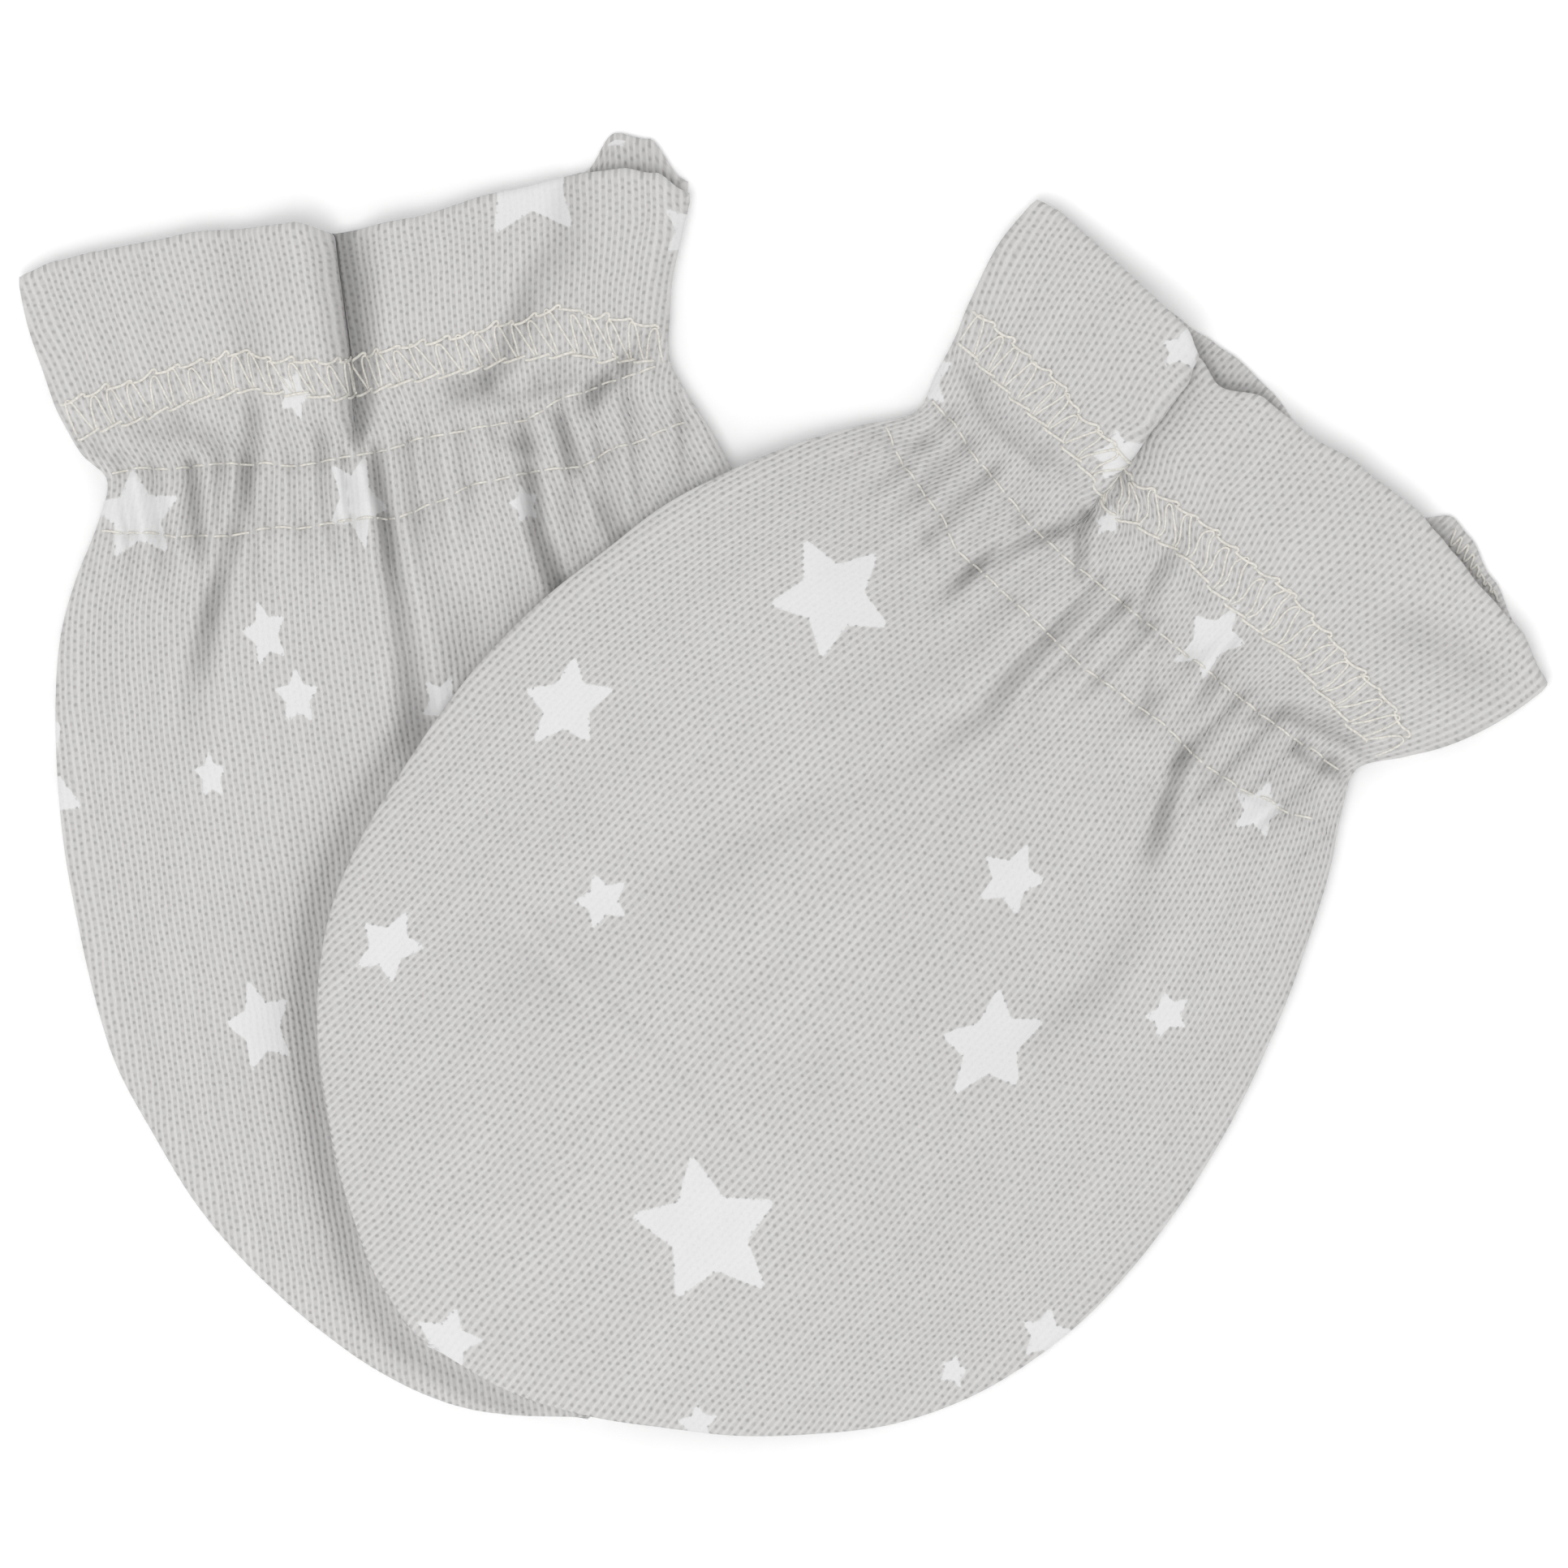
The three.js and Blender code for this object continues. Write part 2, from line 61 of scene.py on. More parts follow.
ROLL_WIDTH = 2.4
ROLL_RISE = 1.1
CURL_WIDTH = 2.0
PUFF_WIDTH = 16.0
BOW_DEPTH = 20.0

ELASTIC_UPPER = 21.5
ELASTIC_LOWER = 28.0
GATHER_PITCH = 4.3
GATHER_HEIGHT = 0.28
GATHER_EASE = 4.5
UNEVEN_GATHER = 0.85

PLEAT_RADIUS = 0.82
PLEAT_UP = 0.72
PLEAT_EASE_UPPER = 8.0
PLEAT_EASE_LOWER = 5.0

DRAPE_HEIGHT = 4.15
DRAPE_OUTSIDE = 22.0
DRAPE_INSIDE = 2.5
PRESS_EASE = 8.0
PRESSED_LOFT = 0.05

# The knit: the distance from one course to the next
COURSE_PITCH = 0.87
CUFF_SHARE = 0.87

# The ridges that stand beside a crease, as shares of its depth and width
CREASE_DEPTH = 1.5
LIP_HEIGHT = 0.3
LIP_PLACE = 2.1
LIP_WIDTH = 1.3

# Where the lower mitten meets the edge of the one on top
RIDGE_EASE = 3.0
NESTLE_DEPTH = 0.9
NESTLE_PLACE = -1.0
NESTLE_WIDTH = 1.7
NESTLE_END = 2.0
NESTLE_FADE = 4.0
COVERED_EASE = 4.0

# Painted shade: the fold depth at which the cloth colour starts to darken in creases, and the depth over which
# it darkens fully
PAINTED_SHADE_START = 0.5
PAINTED_SHADE_REACH = 2.3

# Mesh density: even numbers of steps, as the inner side has half of them
ROW_STEPS = 300
FRONT_COLUMN_STEPS = 240
BACK_ROW_STEPS = 230
BACK_COLUMN_STEPS = 180
RIM_STEPS = 6
FINE_END = 44.0
FINE_SHARE = 1.7


class Rows:
    """A short table with named columns, read between its rows."""

    def __init__(self, columns, *rows):
        values = dict(zip(columns.split(), zip(*rows)))
        self.names = values.pop("name", ())
        self.columns = {name: np.array(column, float) for name, column in values.items()}
        self.count = len(rows)

    def __getitem__(self, name):
        return self.columns[name]

    def each(self):
        """The rows one by one, each as a dict."""
        for row in zip(*self.columns.values()):
            yield dict(zip(self.columns, row))

    def along(self, position):
        """A smooth curve through the rows, by row number."""
        index = np.clip(np.floor(position).astype(int), 0, self.count - 2)
        t = position - index
        found = {}
        for name, column in self.columns.items():
            before = column[np.maximum(index - 1, 0)]
            start = column[index]
            end = column[index + 1]
            after = column[np.minimum(index + 2, self.count - 1)]
            slope_start = (end - before) / 2
            slope_end = (after - start) / 2
            a = 2 * (start - end) + slope_start + slope_end
            b = 3 * (end - start) - 2 * slope_start - slope_end
            found[name] = ((a * t + b) * t + slope_start) * t + start
        return found

    def by(self, key, value, name):
        """One column's values, eased between the rows, by another column."""
        keys = self.columns[key]
        column = self.columns[name]
        index = np.clip(np.searchsorted(keys, value) - 1, 0, self.count - 2)
        t = smooth((value - keys[index]) / (keys[index + 1] - keys[index]))
        return column[index] * (1 - t) + column[index + 1] * t


def smooth(value):
    t = np.clip(value, 0, 1)
    return t * t * (3 - 2 * t)


def bell(value):
    return np.exp(-value * value)


SECTION = "below left right loft"
BOW = "at front back"
PLEAT = "below across turn under"
FOLD = "name below across to_below to_across bend left_width right_width depth"
CREASE = "below across depth left_width right_width"
SEWING = "across cover_high cover_low elastic_high elastic_low"
STAR = "below across radius turn squeeze"


class Mitten:
    """One mitten's outline, folds, sewing rows and stars, in its own axes."""

    def __init__(self, name, cuff, heading, **tables):
        self.name = name
        self.cuff = cuff
        angle = math.radians(heading)
        self.axis = (math.cos(angle), math.sin(angle))
        self.__dict__.update(tables)
        self.seam = self.seam_line()
        widths = self.sections["left"] + self.sections["right"]
        widest = int(widths.argmax())
        self.widest_below = self.sections["below"][widest]
        self.widest = widths[widest]

    def to_world(self, below, across):
        ax, ay = self.axis
        x = self.cuff[0] - ax * below + ay * across
        y = self.cuff[1] - ay * below - ax * across
        return x, y

    def bow_at(self, side, place, below):
        fade = np.clip(1 - below / BOW_DEPTH, 0, 1)
        return self.bow.by("at", place, side) * fade * fade

    def seam_line(self):
        """The seam from the left end of the cuff round the tip to the right end."""
        row = self.sections.along(np.linspace(0, self.sections.count - 1, 3 * self.sections.count - 2))
        below = row["below"]
        left = self.to_world(below - self.bow_at("front", -1.0, below), -row["left"])
        right = self.to_world(below - self.bow_at("front", 1.0, below), row["right"])
        return np.vstack([np.stack(left, 1), np.stack(right, 1)[::-1]])

    def wale_number(self, below, across, width):
        """Wales counted from the left edge; the hand stretches those in the middle."""
        place = across / self.widest
        stretch = self.spread * smooth(below / 45)
        return self.wales * (0.5 + place - stretch * np.sin(2 * math.pi * place) / (2 * math.pi))

    def flat_width(self, below, width):
        """The cut's width: the wrist and cuff are gathered from a wider cut."""
        gathered = 1 - smooth((below - self.widest_below + 26) / 26)
        cut = self.widest * (CUFF_SHARE + (1 - CUFF_SHARE) * smooth(below / self.widest_below))
        return width + (cut - width) * gathered


LOWER = Mitten(
    "lower_mitten",
    (-40.81, 52.6),
    98.7,
    wales=124,
    spread=0.05,
    sections=Rows(
        SECTION,
        (0, 32.0, 31.9, 0.5),
        (4.5, 31.8, 30.6, 0.8),
        (9, 31.0, 29.0, 0.9),
        (13.5, 30.1, 28.1, 0.7),
        (17, 28.8, 27.8, 0.5),
        (20, 26.7, 28.8, 0.3),
        (24, 28.2, 30.6, 0.3),
        (29, 31.1, 32.4, 0.5),
        (34, 33.3, 33.9, 0.8),
        (40, 34.7, 35.0, 1.0),
        (47, 35.6, 35.7, 1.1),
        (54, 36.0, 36.0, 1.2),
        (61, 35.8, 36.0, 1.2),
        (68, 35.3, 35.8, 1.2),
        (75, 34.2, 35.4, 1.1),
        (82, 31.7, 34.6, 1.1),
        (88.5, 29.0, 33.2, 1.0),
        (94, 25.8, 31.2, 0.9),
        (99, 22.1, 28.6, 0.8),
        (103, 18.6, 25.8, 0.8),
        (107, 14.4, 22.2, 0.7),
        (110.5, 9.4, 18.0, 0.6),
        (113.3, 3.2, 13.6, 0.5),
        (114.9, -4.4, 9.2, 0.4),
    ),
    bow=Rows(
        BOW,
        (-1, 0.6, 0),
        (-0.9, 1.3, 0.8),
        (-0.78, 1.6, 1.2),
        (-0.6, 1.8, 1.4),
        (-0.48, 2.0, 1.5),
        (-0.3, 1.6, 1.2),
        (-0.18, 1.4, 0.8),
        (-0.05, -0.1, 0),
        (0.16, 0.2, 0),
        (0.46, 1.4, 1.0),
        (0.71, 2.0, 2.2),
        (0.82, 1.9, 5.4),
        (0.92, 1.0, 4.4),
        (1, -1.0, 0.2),
    ),
    pleat=Rows(
        PLEAT,
        (-4, -2.4, 92, 0.6),
        (5, -2.6, 92, 0.6),
        (9, -2.7, 90, 0.5),
        (15, -2.9, 78, 0.3),
        (18, -3.2, 50, 0.1),
        (21, -3.7, 0, 0),
        (130, -3.7, 0, 0),
    ),
    creases=(
        Rows(
            CREASE,
            (-4, -1.2, 2.2, 1.9, 2.1),
            (5, -1.3, 2.2, 1.8, 2.0),
            (12.6, -1.7, 2.2, 1.5, 1.5),
            (18.8, -2.4, 1.6, 1.0, 0.9),
            (21.5, -2.5, 0, 0.6, 0.6),
        ),
        Rows(
            CREASE,
            (12.5, -11.4, 0, 0.8, 0.8),
            (16, -12.0, 0.7, 0.8, 0.9),
            (20.9, -13.3, 0.95, 0.8, 0.9),
            (26.2, -15.1, 1.05, 0.7, 0.8),
            (29.2, -16.7, 1.1, 0.7, 0.9),
            (34.1, -18.9, 1.1, 0.8, 1.0),
            (38.3, -20.5, 0.9, 0.9, 1.2),
            (41.2, -21.5, 0.6, 1.0, 1.4),
            (46, -22.6, 0.4, 1.3, 1.7),
            (55, -23.6, 0, 1.8, 2.2),
        ),
        Rows(
            CREASE,
            (17.5, -18, 0, 0.6, 0.7),
            (21.2, -18.4, 0.25, 0.6, 0.7),
            (25, -19.3, 0.3, 0.6, 0.7),
            (29, -19.8, 0, 0.6, 0.7),
        ),
        Rows(
            CREASE,
            (17, -15.4, 0, 0.6, 0.7),
            (20.5, -15.9, 0.8, 0.6, 0.7),
            (24.9, -16.5, 0.75, 0.6, 0.7),
            (28, -17.0, 0, 0.6, 0.7),
        ),
        Rows(
            CREASE,
            (15.2, -31, 0.9, 1.2, 1.2),
            (15.5, -29, 0.8, 1.0, 1.2),
            (17, -26.6, 0.7, 0.9, 1.1),
            (18.8, -24, 0.3, 0.9, 1.1),
            (19.6, -22.6, 0, 0.9, 1.1),
        ),
        Rows(
            CREASE,
            (14.6, -26, 0, 1.5, 2.0),
            (15.6, -22, 0.5, 1.2, 1.6),
            (15.9, -19, 0.6, 1.2, 1.6),
            (17.5, -16.2, 0.5, 1.0, 1.2),
            (20, -15.4, 0, 1.0, 1.2),
        ),
        Rows(
            CREASE,
            (20, -10.8, 0, 0.6, 0.7),
            (22.3, -11.1, 0.4, 0.6, 0.7),
            (26.1, -12.1, 0.35, 0.6, 0.7),
            (29, -12.6, 0, 0.6, 0.7),
        ),
        Rows(
            CREASE,
            (17, -5.6, 0, 0.7, 0.8),
            (18.2, -5.6, 0.5, 0.7, 0.8),
            (21, -6.4, 0.7, 0.6, 0.7),
            (26, -6.6, 0.6, 0.6, 0.7),
            (29.5, -6.2, 0.45, 0.6, 0.8),
            (33, -5.9, 0, 0.7, 0.9),
        ),
        Rows(
            CREASE,
            (19.5, -2.6, 0, 0.6, 0.7),
            (22.3, -1.6, 0.7, 0.6, 0.7),
            (28.8, -1.3, 0.9, 0.7, 0.8),
            (36.8, -1.1, 1.0, 0.8, 1.0),
            (42.8, -1.1, 1.1, 1.0, 1.4),
            (47.3, -1.2, 1.0, 1.3, 2.0),
            (53, -2, 0, 2.0, 2.5),
        ),
        Rows(
            CREASE,
            (17.5, 4.5, 0, 0.8, 1.0),
            (22.6, 3.9, 0.6, 0.8, 1.0),
            (28.5, 3.0, 0.5, 0.9, 1.2),
            (33.5, 3.4, 0.4, 1.2, 1.4),
            (38, 3.8, 0, 1.4, 1.6),
        ),
        Rows(
            CREASE,
            (-2, 21.2, 0.5, 1.2, 4.0),
            (4, 19.3, 0.7, 1.2, 4.5),
            (7, 16.3, 0.8, 1.1, 3.5),
            (10.7, 14.2, 1.1, 0.9, 2.4),
            (13.9, 12.5, 1.2, 0.9, 2.0),
            (16.1, 10.2, 1.3, 1.0, 1.5),
            (16.6, 7.3, 0.9, 0.9, 1.3),
            (17.7, 4.7, 0.3, 0.9, 1.2),
            (19, 3.5, 0, 0.9, 1.2),
        ),
        Rows(
            CREASE,
            (17.8, 10.5, 0, 0.9, 1.0),
            (17.5, 12.7, 0.6, 1.0, 1.2),
            (17.1, 15.2, 0.9, 1.1, 1.3),
            (16.8, 17.8, 0.6, 1.0, 1.1),
            (17, 19.5, 0, 0.9, 1.0),
        ),
        Rows(
            CREASE,
            (14.8, 27.5, 0, 0.7, 0.8),
            (15.2, 25.5, 0.5, 0.7, 0.8),
            (16, 24.2, 0.8, 0.7, 0.8),
            (18, 21.1, 1.1, 0.7, 0.8),
            (19.5, 19.4, 1.1, 0.8, 0.9),
            (21.5, 18.6, 0.5, 0.8, 0.9),
            (24, 18.9, 0, 0.8, 0.9),
        ),
        Rows(
            CREASE,
            (18.5, 15.6, 0, 0.6, 0.7),
            (20.6, 16.5, 0.6, 0.6, 0.7),
            (24.7, 17.3, 0.8, 0.7, 0.9),
            (27.4, 18.7, 0.75, 0.7, 0.9),
            (30.3, 19.7, 0.8, 0.8, 1.0),
            (32.4, 20.6, 0.8, 0.9, 1.1),
            (36, 21.5, 0, 1.2, 1.4),
        ),
        Rows(
            CREASE,
            (22.5, 19.7, 0, 1.0, 1.2),
            (25.1, 20.2, 0.6, 1.0, 1.2),
            (28.5, 20.6, 0.5, 1.0, 1.2),
            (31, 21, 0, 1.0, 1.2),
        ),
        Rows(
            CREASE,
            (24, 12.9, 0, 0.7, 0.8),
            (26.1, 13.2, 0.5, 0.7, 0.8),
            (31, 12.8, 1.1, 0.7, 0.8),
            (35.6, 13.9, 1.4, 0.8, 0.9),
            (39, 14.8, 1.3, 0.9, 1.1),
            (43, 15.5, 0, 1.0, 1.2),
        ),
        Rows(
            CREASE,
            (19.5, 9.5, 0, 1.0, 1.0),
            (21.2, 11.1, 0.6, 1.0, 1.0),
            (23.1, 13.8, 0.6, 1.0, 1.0),
            (24.5, 15, 0, 1.0, 1.0),
        ),
        Rows(
            CREASE,
            (-2, -10.4, 0.5, 2.2, 2.5),
            (6.3, -10.8, 0.6, 1.8, 2.0),
            (11.3, -10.9, 0.6, 1.1, 1.2),
            (13.5, -11.4, 0, 1.0, 1.0),
        ),
        Rows(
            CREASE,
            (30, 6, 0, 2.0, 2.0),
            (35, 6, 0.4, 2.0, 2.0),
            (41, 5, 0.5, 2.2, 2.2),
            (46, 4, 0, 2.2, 2.2),
        ),
    ),
    back_folds=Rows(
        FOLD,
        ("left", 20, -14.5, 41, -18.5, 0.5, 1.6, 1.6, 0.7),
        ("left_middle", 21, -8, 33, -8.6, 0, 1.4, 1.6, 0.5),
        ("middle", 19, 2.2, 46, 4.0, -0.6, 1.6, 1.6, 0.7),
        ("right_middle", 21, 9.4, 34, 11.0, 0.3, 1.4, 1.6, 0.5),
        ("right", 20, 18.4, 38, 22.4, 0.4, 1.6, 1.6, 0.6),
    ),
    sewing=Rows(
        SEWING,
        (-29.5, 12.2, 15.6, 19.4, 24.6),
        (-24, 11.4, 15.0, 19.4, 25.5),
        (-20, 10.7, 14.2, 19.9, 26.5),
        (-16, 10.4, 13.7, 20.1, 27.0),
        (-12, 10.0, 13.5, 20.7, 26.9),
        (-9, 11.4, 14.5, 21.4, 27.3),
        (-3, 12.3, 15.6, 21.3, 27.3),
        (0, 12.0, 15.4, 21.2, 27.8),
        (4, 11.9, 15.1, 20.6, 26.8),
        (8, 11.7, 15.0, 20.5, 25.7),
        (13, 11.2, 14.5, 20.4, 25.4),
        (18, 10.5, 14.8, 18.8, 25.5),
        (22, 12.0, 16.0, 18.0, 24.2),
        (29, 14.2, 17.4, 16.8, 22.9),
    ),
    stars=Rows(
        STAR,
        (23.8, -24.3, 4.7, -33, 0.95),
        (25.5, -3.6, 5.0, -4, 0.6),
        (14.6, -7.8, 2.7, -8, 0.62),
        (36.7, -14.0, 3.4, 28, 0.69),
        (43.1, -11.9, 3.0, -31, 0.76),
        (49.2, -21.1, 2.5, -33, 0.67),
        (46.7, -38.2, 7.4, 12, 0.75),
        (73.3, -20.1, 4.8, 27, 0.7),
        (45.6, 1.5, 2.9, 0, 0.8),
        (28.3, 12.1, 2.1, 28, 0.75),
        (-2.2, 17.2, 6.4, -32, 1.0),
        (5.0, 31.2, 3.4, -8, 0.8),
    ),
    back_stars=Rows(
        STAR,
        (22, 12.5, 4.0, 15, 0.7),
        (33, -18.0, 2.6, -10, 0.8),
        (40, 23.5, 4.4, 30, 0.8),
        (47, -3.0, 2.4, 5, 0.9),
        (55, 10.5, 3.2, -25, 0.9),
        (60, -24.0, 5.4, 10, 0.85),
        (70, 26.0, 2.8, 0, 0.85),
        (76, -6.0, 3.4, 20, 0.95),
        (88, 13.0, 5.2, -8, 0.95),
        (97, -10.0, 2.4, 12, 0.95),
        (6, -15.0, 3.0, 25, 0.9),
        (9, 22.0, 2.2, 0, 0.85),
    ),
    hem_stars=Rows(
        STAR,
        (-4.9, 26.1, 1.3, -15, 1.3),
        (6, -12.0, 2.5, 20, 0.9),
    ),
)

UPPER = Mitten(
    "upper_mitten",
    (48.19, 32.5),
    46.9,
    wales=138,
    spread=0.1,
    sections=Rows(
        SECTION,
        (0, 33.3, 33.4, 0.5),
        (5, 33.0, 32.6, 0.8),
        (10, 31.6, 30.8, 0.9),
        (14.5, 30.1, 28.2, 0.7),
        (18.5, 29.0, 25.7, 0.4),
        (22.5, 28.0, 27.4, 0.3),
        (27, 30.9, 30.2, 0.4),
        (32, 33.9, 32.7, 0.6),
        (38, 36.7, 35.4, 0.9),
        (45, 39.2, 38.0, 1.1),
        (52, 40.4, 40.1, 1.2),
        (60, 41.6, 41.7, 1.3),
        (68, 41.8, 42.5, 1.3),
        (75, 41.1, 42.4, 1.2),
        (82, 39.9, 41.2, 1.2),
        (88, 38.6, 39.2, 1.1),
        (94, 36.4, 35.9, 1.0),
        (99.5, 33.0, 31.2, 0.9),
        (104.5, 28.5, 26.0, 0.8),
        (108.5, 23.6, 20.6, 0.7),
        (112, 18.8, 15.6, 0.6),
        (114.8, 13.8, 10.6, 0.5),
        (117, 9.8, 5.6, 0.4),
        (118.5, 4.6, -0.8, 0.3),
    ),
    bow=Rows(
        BOW,
        (-1, 0.5, -0.4),
        (-0.93, 0.9, 0.2),
        (-0.64, 1.0, 0.8),
        (-0.45, 0.9, 1.4),
        (-0.36, -0.2, 1.9),
        (-0.27, -0.9, 2.3),
        (-0.14, 1.2, 2.2),
        (0, 1.5, 1.5),
        (0.2, 2.7, 1.9),
        (0.4, 3.3, 2.8),
        (0.49, 3.0, 5.3),
        (0.56, 2.7, 5.0),
        (0.69, 2.1, 3.6),
        (0.84, 1.7, 1.9),
        (1, 0, 0.2),
    ),
    pleat=Rows(
        PLEAT,
        (-4, -16.2, 174, 3.4),
        (0, -14.8, 174, 3.4),
        (3, -13.9, 174, 3.4),
        (8, -13.3, 172, 3.2),
        (12, -12.1, 155, 2.4),
        (15, -10.6, 120, 1.2),
        (18.5, -9.9, 60, 0.3),
        (22, -10.4, 0, 0),
        (130, -10.4, 0, 0),
    ),
    creases=(
        Rows(
            CREASE,
            (17.5, -9.6, 0, 0.6, 0.8),
            (18.3, -9.9, 1.0, 0.6, 0.8),
            (21, -10.2, 1.1, 0.6, 0.8),
            (22.6, -11.1, 1.0, 0.6, 0.8),
            (25, -12.3, 0.8, 0.6, 0.8),
            (27.2, -12.9, 0.7, 0.7, 0.9),
            (29.7, -13.7, 0.6, 0.8, 1.0),
            (31.9, -14.0, 0.4, 0.8, 1.2),
            (35.5, -14.6, 0, 1.0, 1.5),
        ),
        Rows(
            CREASE,
            (17.6, -9.6, 0, 0.5, 0.6),
            (18.6, -9.1, 0.7, 0.5, 0.6),
            (20, -8.6, 1.0, 0.6, 0.7),
            (21.8, -7.1, 0.9, 0.6, 0.7),
            (22.6, -6.3, 0.5, 0.6, 0.7),
            (23.8, -5.6, 0, 0.6, 0.7),
        ),
        Rows(
            CREASE,
            (22.5, -3.6, 0, 0.5, 0.6),
            (24.3, -3.7, 0.35, 0.5, 0.6),
            (30, -3.9, 0.7, 0.6, 0.8),
            (35.1, -3.9, 0.9, 0.8, 1.0),
            (38.9, -3.5, 0.8, 1.0, 1.4),
            (41.6, -4.1, 0.8, 1.5, 2.2),
            (45.1, -4.5, 0.7, 2.0, 3.0),
            (48.6, -5.5, 0.6, 2.5, 3.5),
            (55, -7.8, 0.55, 3.2, 4.4),
            (63, -10.5, 0.5, 4.5, 5.5),
            (72, -14.2, 0.4, 6.0, 7.0),
            (82, -17.5, 0.25, 7.0, 8.0),
            (94, -21, 0, 7.0, 8.0),
        ),
        Rows(
            CREASE,
            (30, 4.0, 0, 0.8, 1.0),
            (35, 2.4, 0.35, 0.9, 1.1),
            (42, 0.6, 0.4, 1.2, 1.5),
            (50, -1.5, 0.3, 1.6, 2.0),
            (60, -4.5, 0, 2.0, 2.5),
        ),
        Rows(
            CREASE,
            (82.4, -31, 0, 0.8, 0.8),
            (83, -22, -0.24, 0.8, 0.9),
            (84, -8, -0.27, 0.9, 1.0),
            (84.9, 6, -0.22, 0.9, 0.9),
            (85.2, 12, 0, 0.8, 0.8),
        ),
        Rows(
            CREASE,
            (27.5, -10.0, 0, 0.8, 1.0),
            (30.8, -9.5, 0.4, 0.8, 1.0),
            (33.7, -9.4, 0.45, 1.0, 1.3),
            (37.6, -10.5, 0.35, 1.5, 2.0),
            (42, -12, 0, 2.0, 2.4),
        ),
        Rows(
            CREASE,
            (11.5, -1.6, 0, 0.6, 0.8),
            (14.2, -1.3, 0.4, 0.6, 0.8),
            (17.8, -0.6, 0.7, 0.6, 0.8),
            (20.4, 0.5, 0.8, 0.6, 0.8),
            (22.1, 1.3, 0.7, 0.6, 0.8),
            (24.4, 0.8, 0.45, 0.7, 0.9),
            (27.1, 0.2, 0.5, 0.7, 0.9),
            (30.3, 0.1, 0.5, 0.8, 1.0),
            (33.3, 0.2, 0.35, 0.9, 1.2),
            (37, 0.5, 0, 1.0, 1.4),
        ),
        Rows(
            CREASE,
            (15, 8.9, 0, 0.7, 0.8),
            (16.2, 9.5, 0.4, 0.7, 0.8),
            (19.8, 9.7, 0.6, 0.6, 0.8),
            (22, 10.1, 0.8, 0.7, 0.8),
            (24.2, 10.9, 0.7, 0.7, 0.8),
            (26.2, 10.9, 0.4, 0.7, 0.8),
            (28, 11.8, 0, 0.7, 0.8),
        ),
        Rows(
            CREASE,
            (27.6, 12.5, 0, 0.6, 0.7),
            (29, 13.0, 0.7, 0.6, 0.7),
            (31.1, 13.9, 1.0, 0.6, 0.8),
            (33.4, 14.8, 1.1, 0.7, 0.9),
            (35.5, 15.9, 1.0, 0.8, 1.1),
            (37.6, 17.1, 0.8, 1.1, 1.5),
            (38.8, 18.0, 0.5, 1.4, 2.0),
            (44, 20.6, 0.6, 2.2, 2.5),
            (50, 22.0, 0.65, 2.5, 3.0),
            (57, 21.0, 0.5, 3.0, 3.0),
            (65, 19.0, 0, 3.0, 3.0),
        ),
        Rows(
            CREASE,
            (23, 13.6, 0, 0.7, 0.7),
            (21.8, 14.8, 0.5, 0.7, 0.7),
            (18.9, 17.3, 0.65, 0.7, 0.8),
            (17.9, 19.5, 0.65, 0.8, 0.8),
            (16.9, 22.3, 0.55, 0.8, 0.8),
            (16.5, 25.5, 0.5, 0.8, 0.8),
            (16.5, 29, 0.3, 0.8, 0.8),
        ),
        Rows(
            CREASE,
            (22, 18.6, 0, 0.6, 0.7),
            (20.9, 20.2, 0.5, 0.6, 0.7),
            (20.5, 22.4, 0.6, 0.7, 0.8),
            (19.3, 25.1, 0.7, 0.8, 0.8),
            (18.8, 28, 0.6, 0.8, 0.8),
        ),
        Rows(
            CREASE,
            (15.5, -28.5, 0.2, 0.9, 1.0),
            (16.1, -25.9, 0.65, 0.9, 1.1),
            (17.6, -22.4, 0.6, 0.9, 1.2),
            (17.4, -18.8, 0.5, 0.9, 1.2),
            (17, -15.5, 0.5, 1.0, 1.2),
            (17, -13, 0, 1.0, 1.2),
        ),
        Rows(
            CREASE,
            (17.6, -22.4, 0, 1.0, 1.2),
            (19.5, -21.6, 0.35, 0.8, 1.0),
            (22.5, -21, 0.3, 0.9, 1.1),
            (25, -20.6, 0, 0.9, 1.1),
        ),
        Rows(
            CREASE,
            (26.5, -29.5, 0.3, 0.7, 0.7),
            (25.8, -27.8, 0.4, 0.7, 0.7),
            (24, -25.5, 0.4, 0.8, 0.8),
            (22.5, -23.5, 0, 0.8, 0.8),
        ),
        Rows(
            CREASE,
            (28.6, -22, 0, 0.6, 0.8),
            (30.4, -18.3, 0.3, 0.6, 0.8),
            (31, -15.6, 0, 0.6, 0.8),
        ),
        Rows(
            CREASE,
            (15, 3, 0, 0.9, 0.9),
            (16.3, 3.3, 0.4, 0.9, 0.9),
            (18, 3.4, 0, 0.9, 0.9),
        ),
        Rows(
            CREASE,
            (20, 3.4, 0, 0.6, 0.8),
            (22.5, 3.9, 0.35, 0.6, 0.8),
            (28, 7.5, 0.35, 0.7, 0.8),
            (31, 8.4, 0, 0.7, 0.8),
        ),
        Rows(
            CREASE,
            (80.5, -38, 0, 5.0, 6.0),
            (82.4, -33.6, 0.35, 5.0, 6.0),
            (86, -25, 0.38, 5.5, 6.5),
            (89.3, -15, 0.3, 5.5, 6.5),
            (91, -8, 0, 5.0, 6.0),
        ),
        Rows(
            CREASE,
            (68, -3, 0, 5.0, 5.0),
            (71.5, 2.5, 0.45, 5.5, 6.0),
            (75.4, 8.7, 0.45, 5.5, 6.0),
            (80, 15, 0, 5.0, 5.0),
        ),
        Rows(
            CREASE,
            (8, 13, 0, 3.0, 3.0),
            (5.4, 20.5, 0.65, 3.0, 3.5),
            (3.5, 27, 0.75, 3.0, 3.5),
            (2.5, 33, 0.5, 3.0, 3.5),
        ),
        Rows(
            CREASE,
            (-2, -2.2, 0.25, 2.5, 2.5),
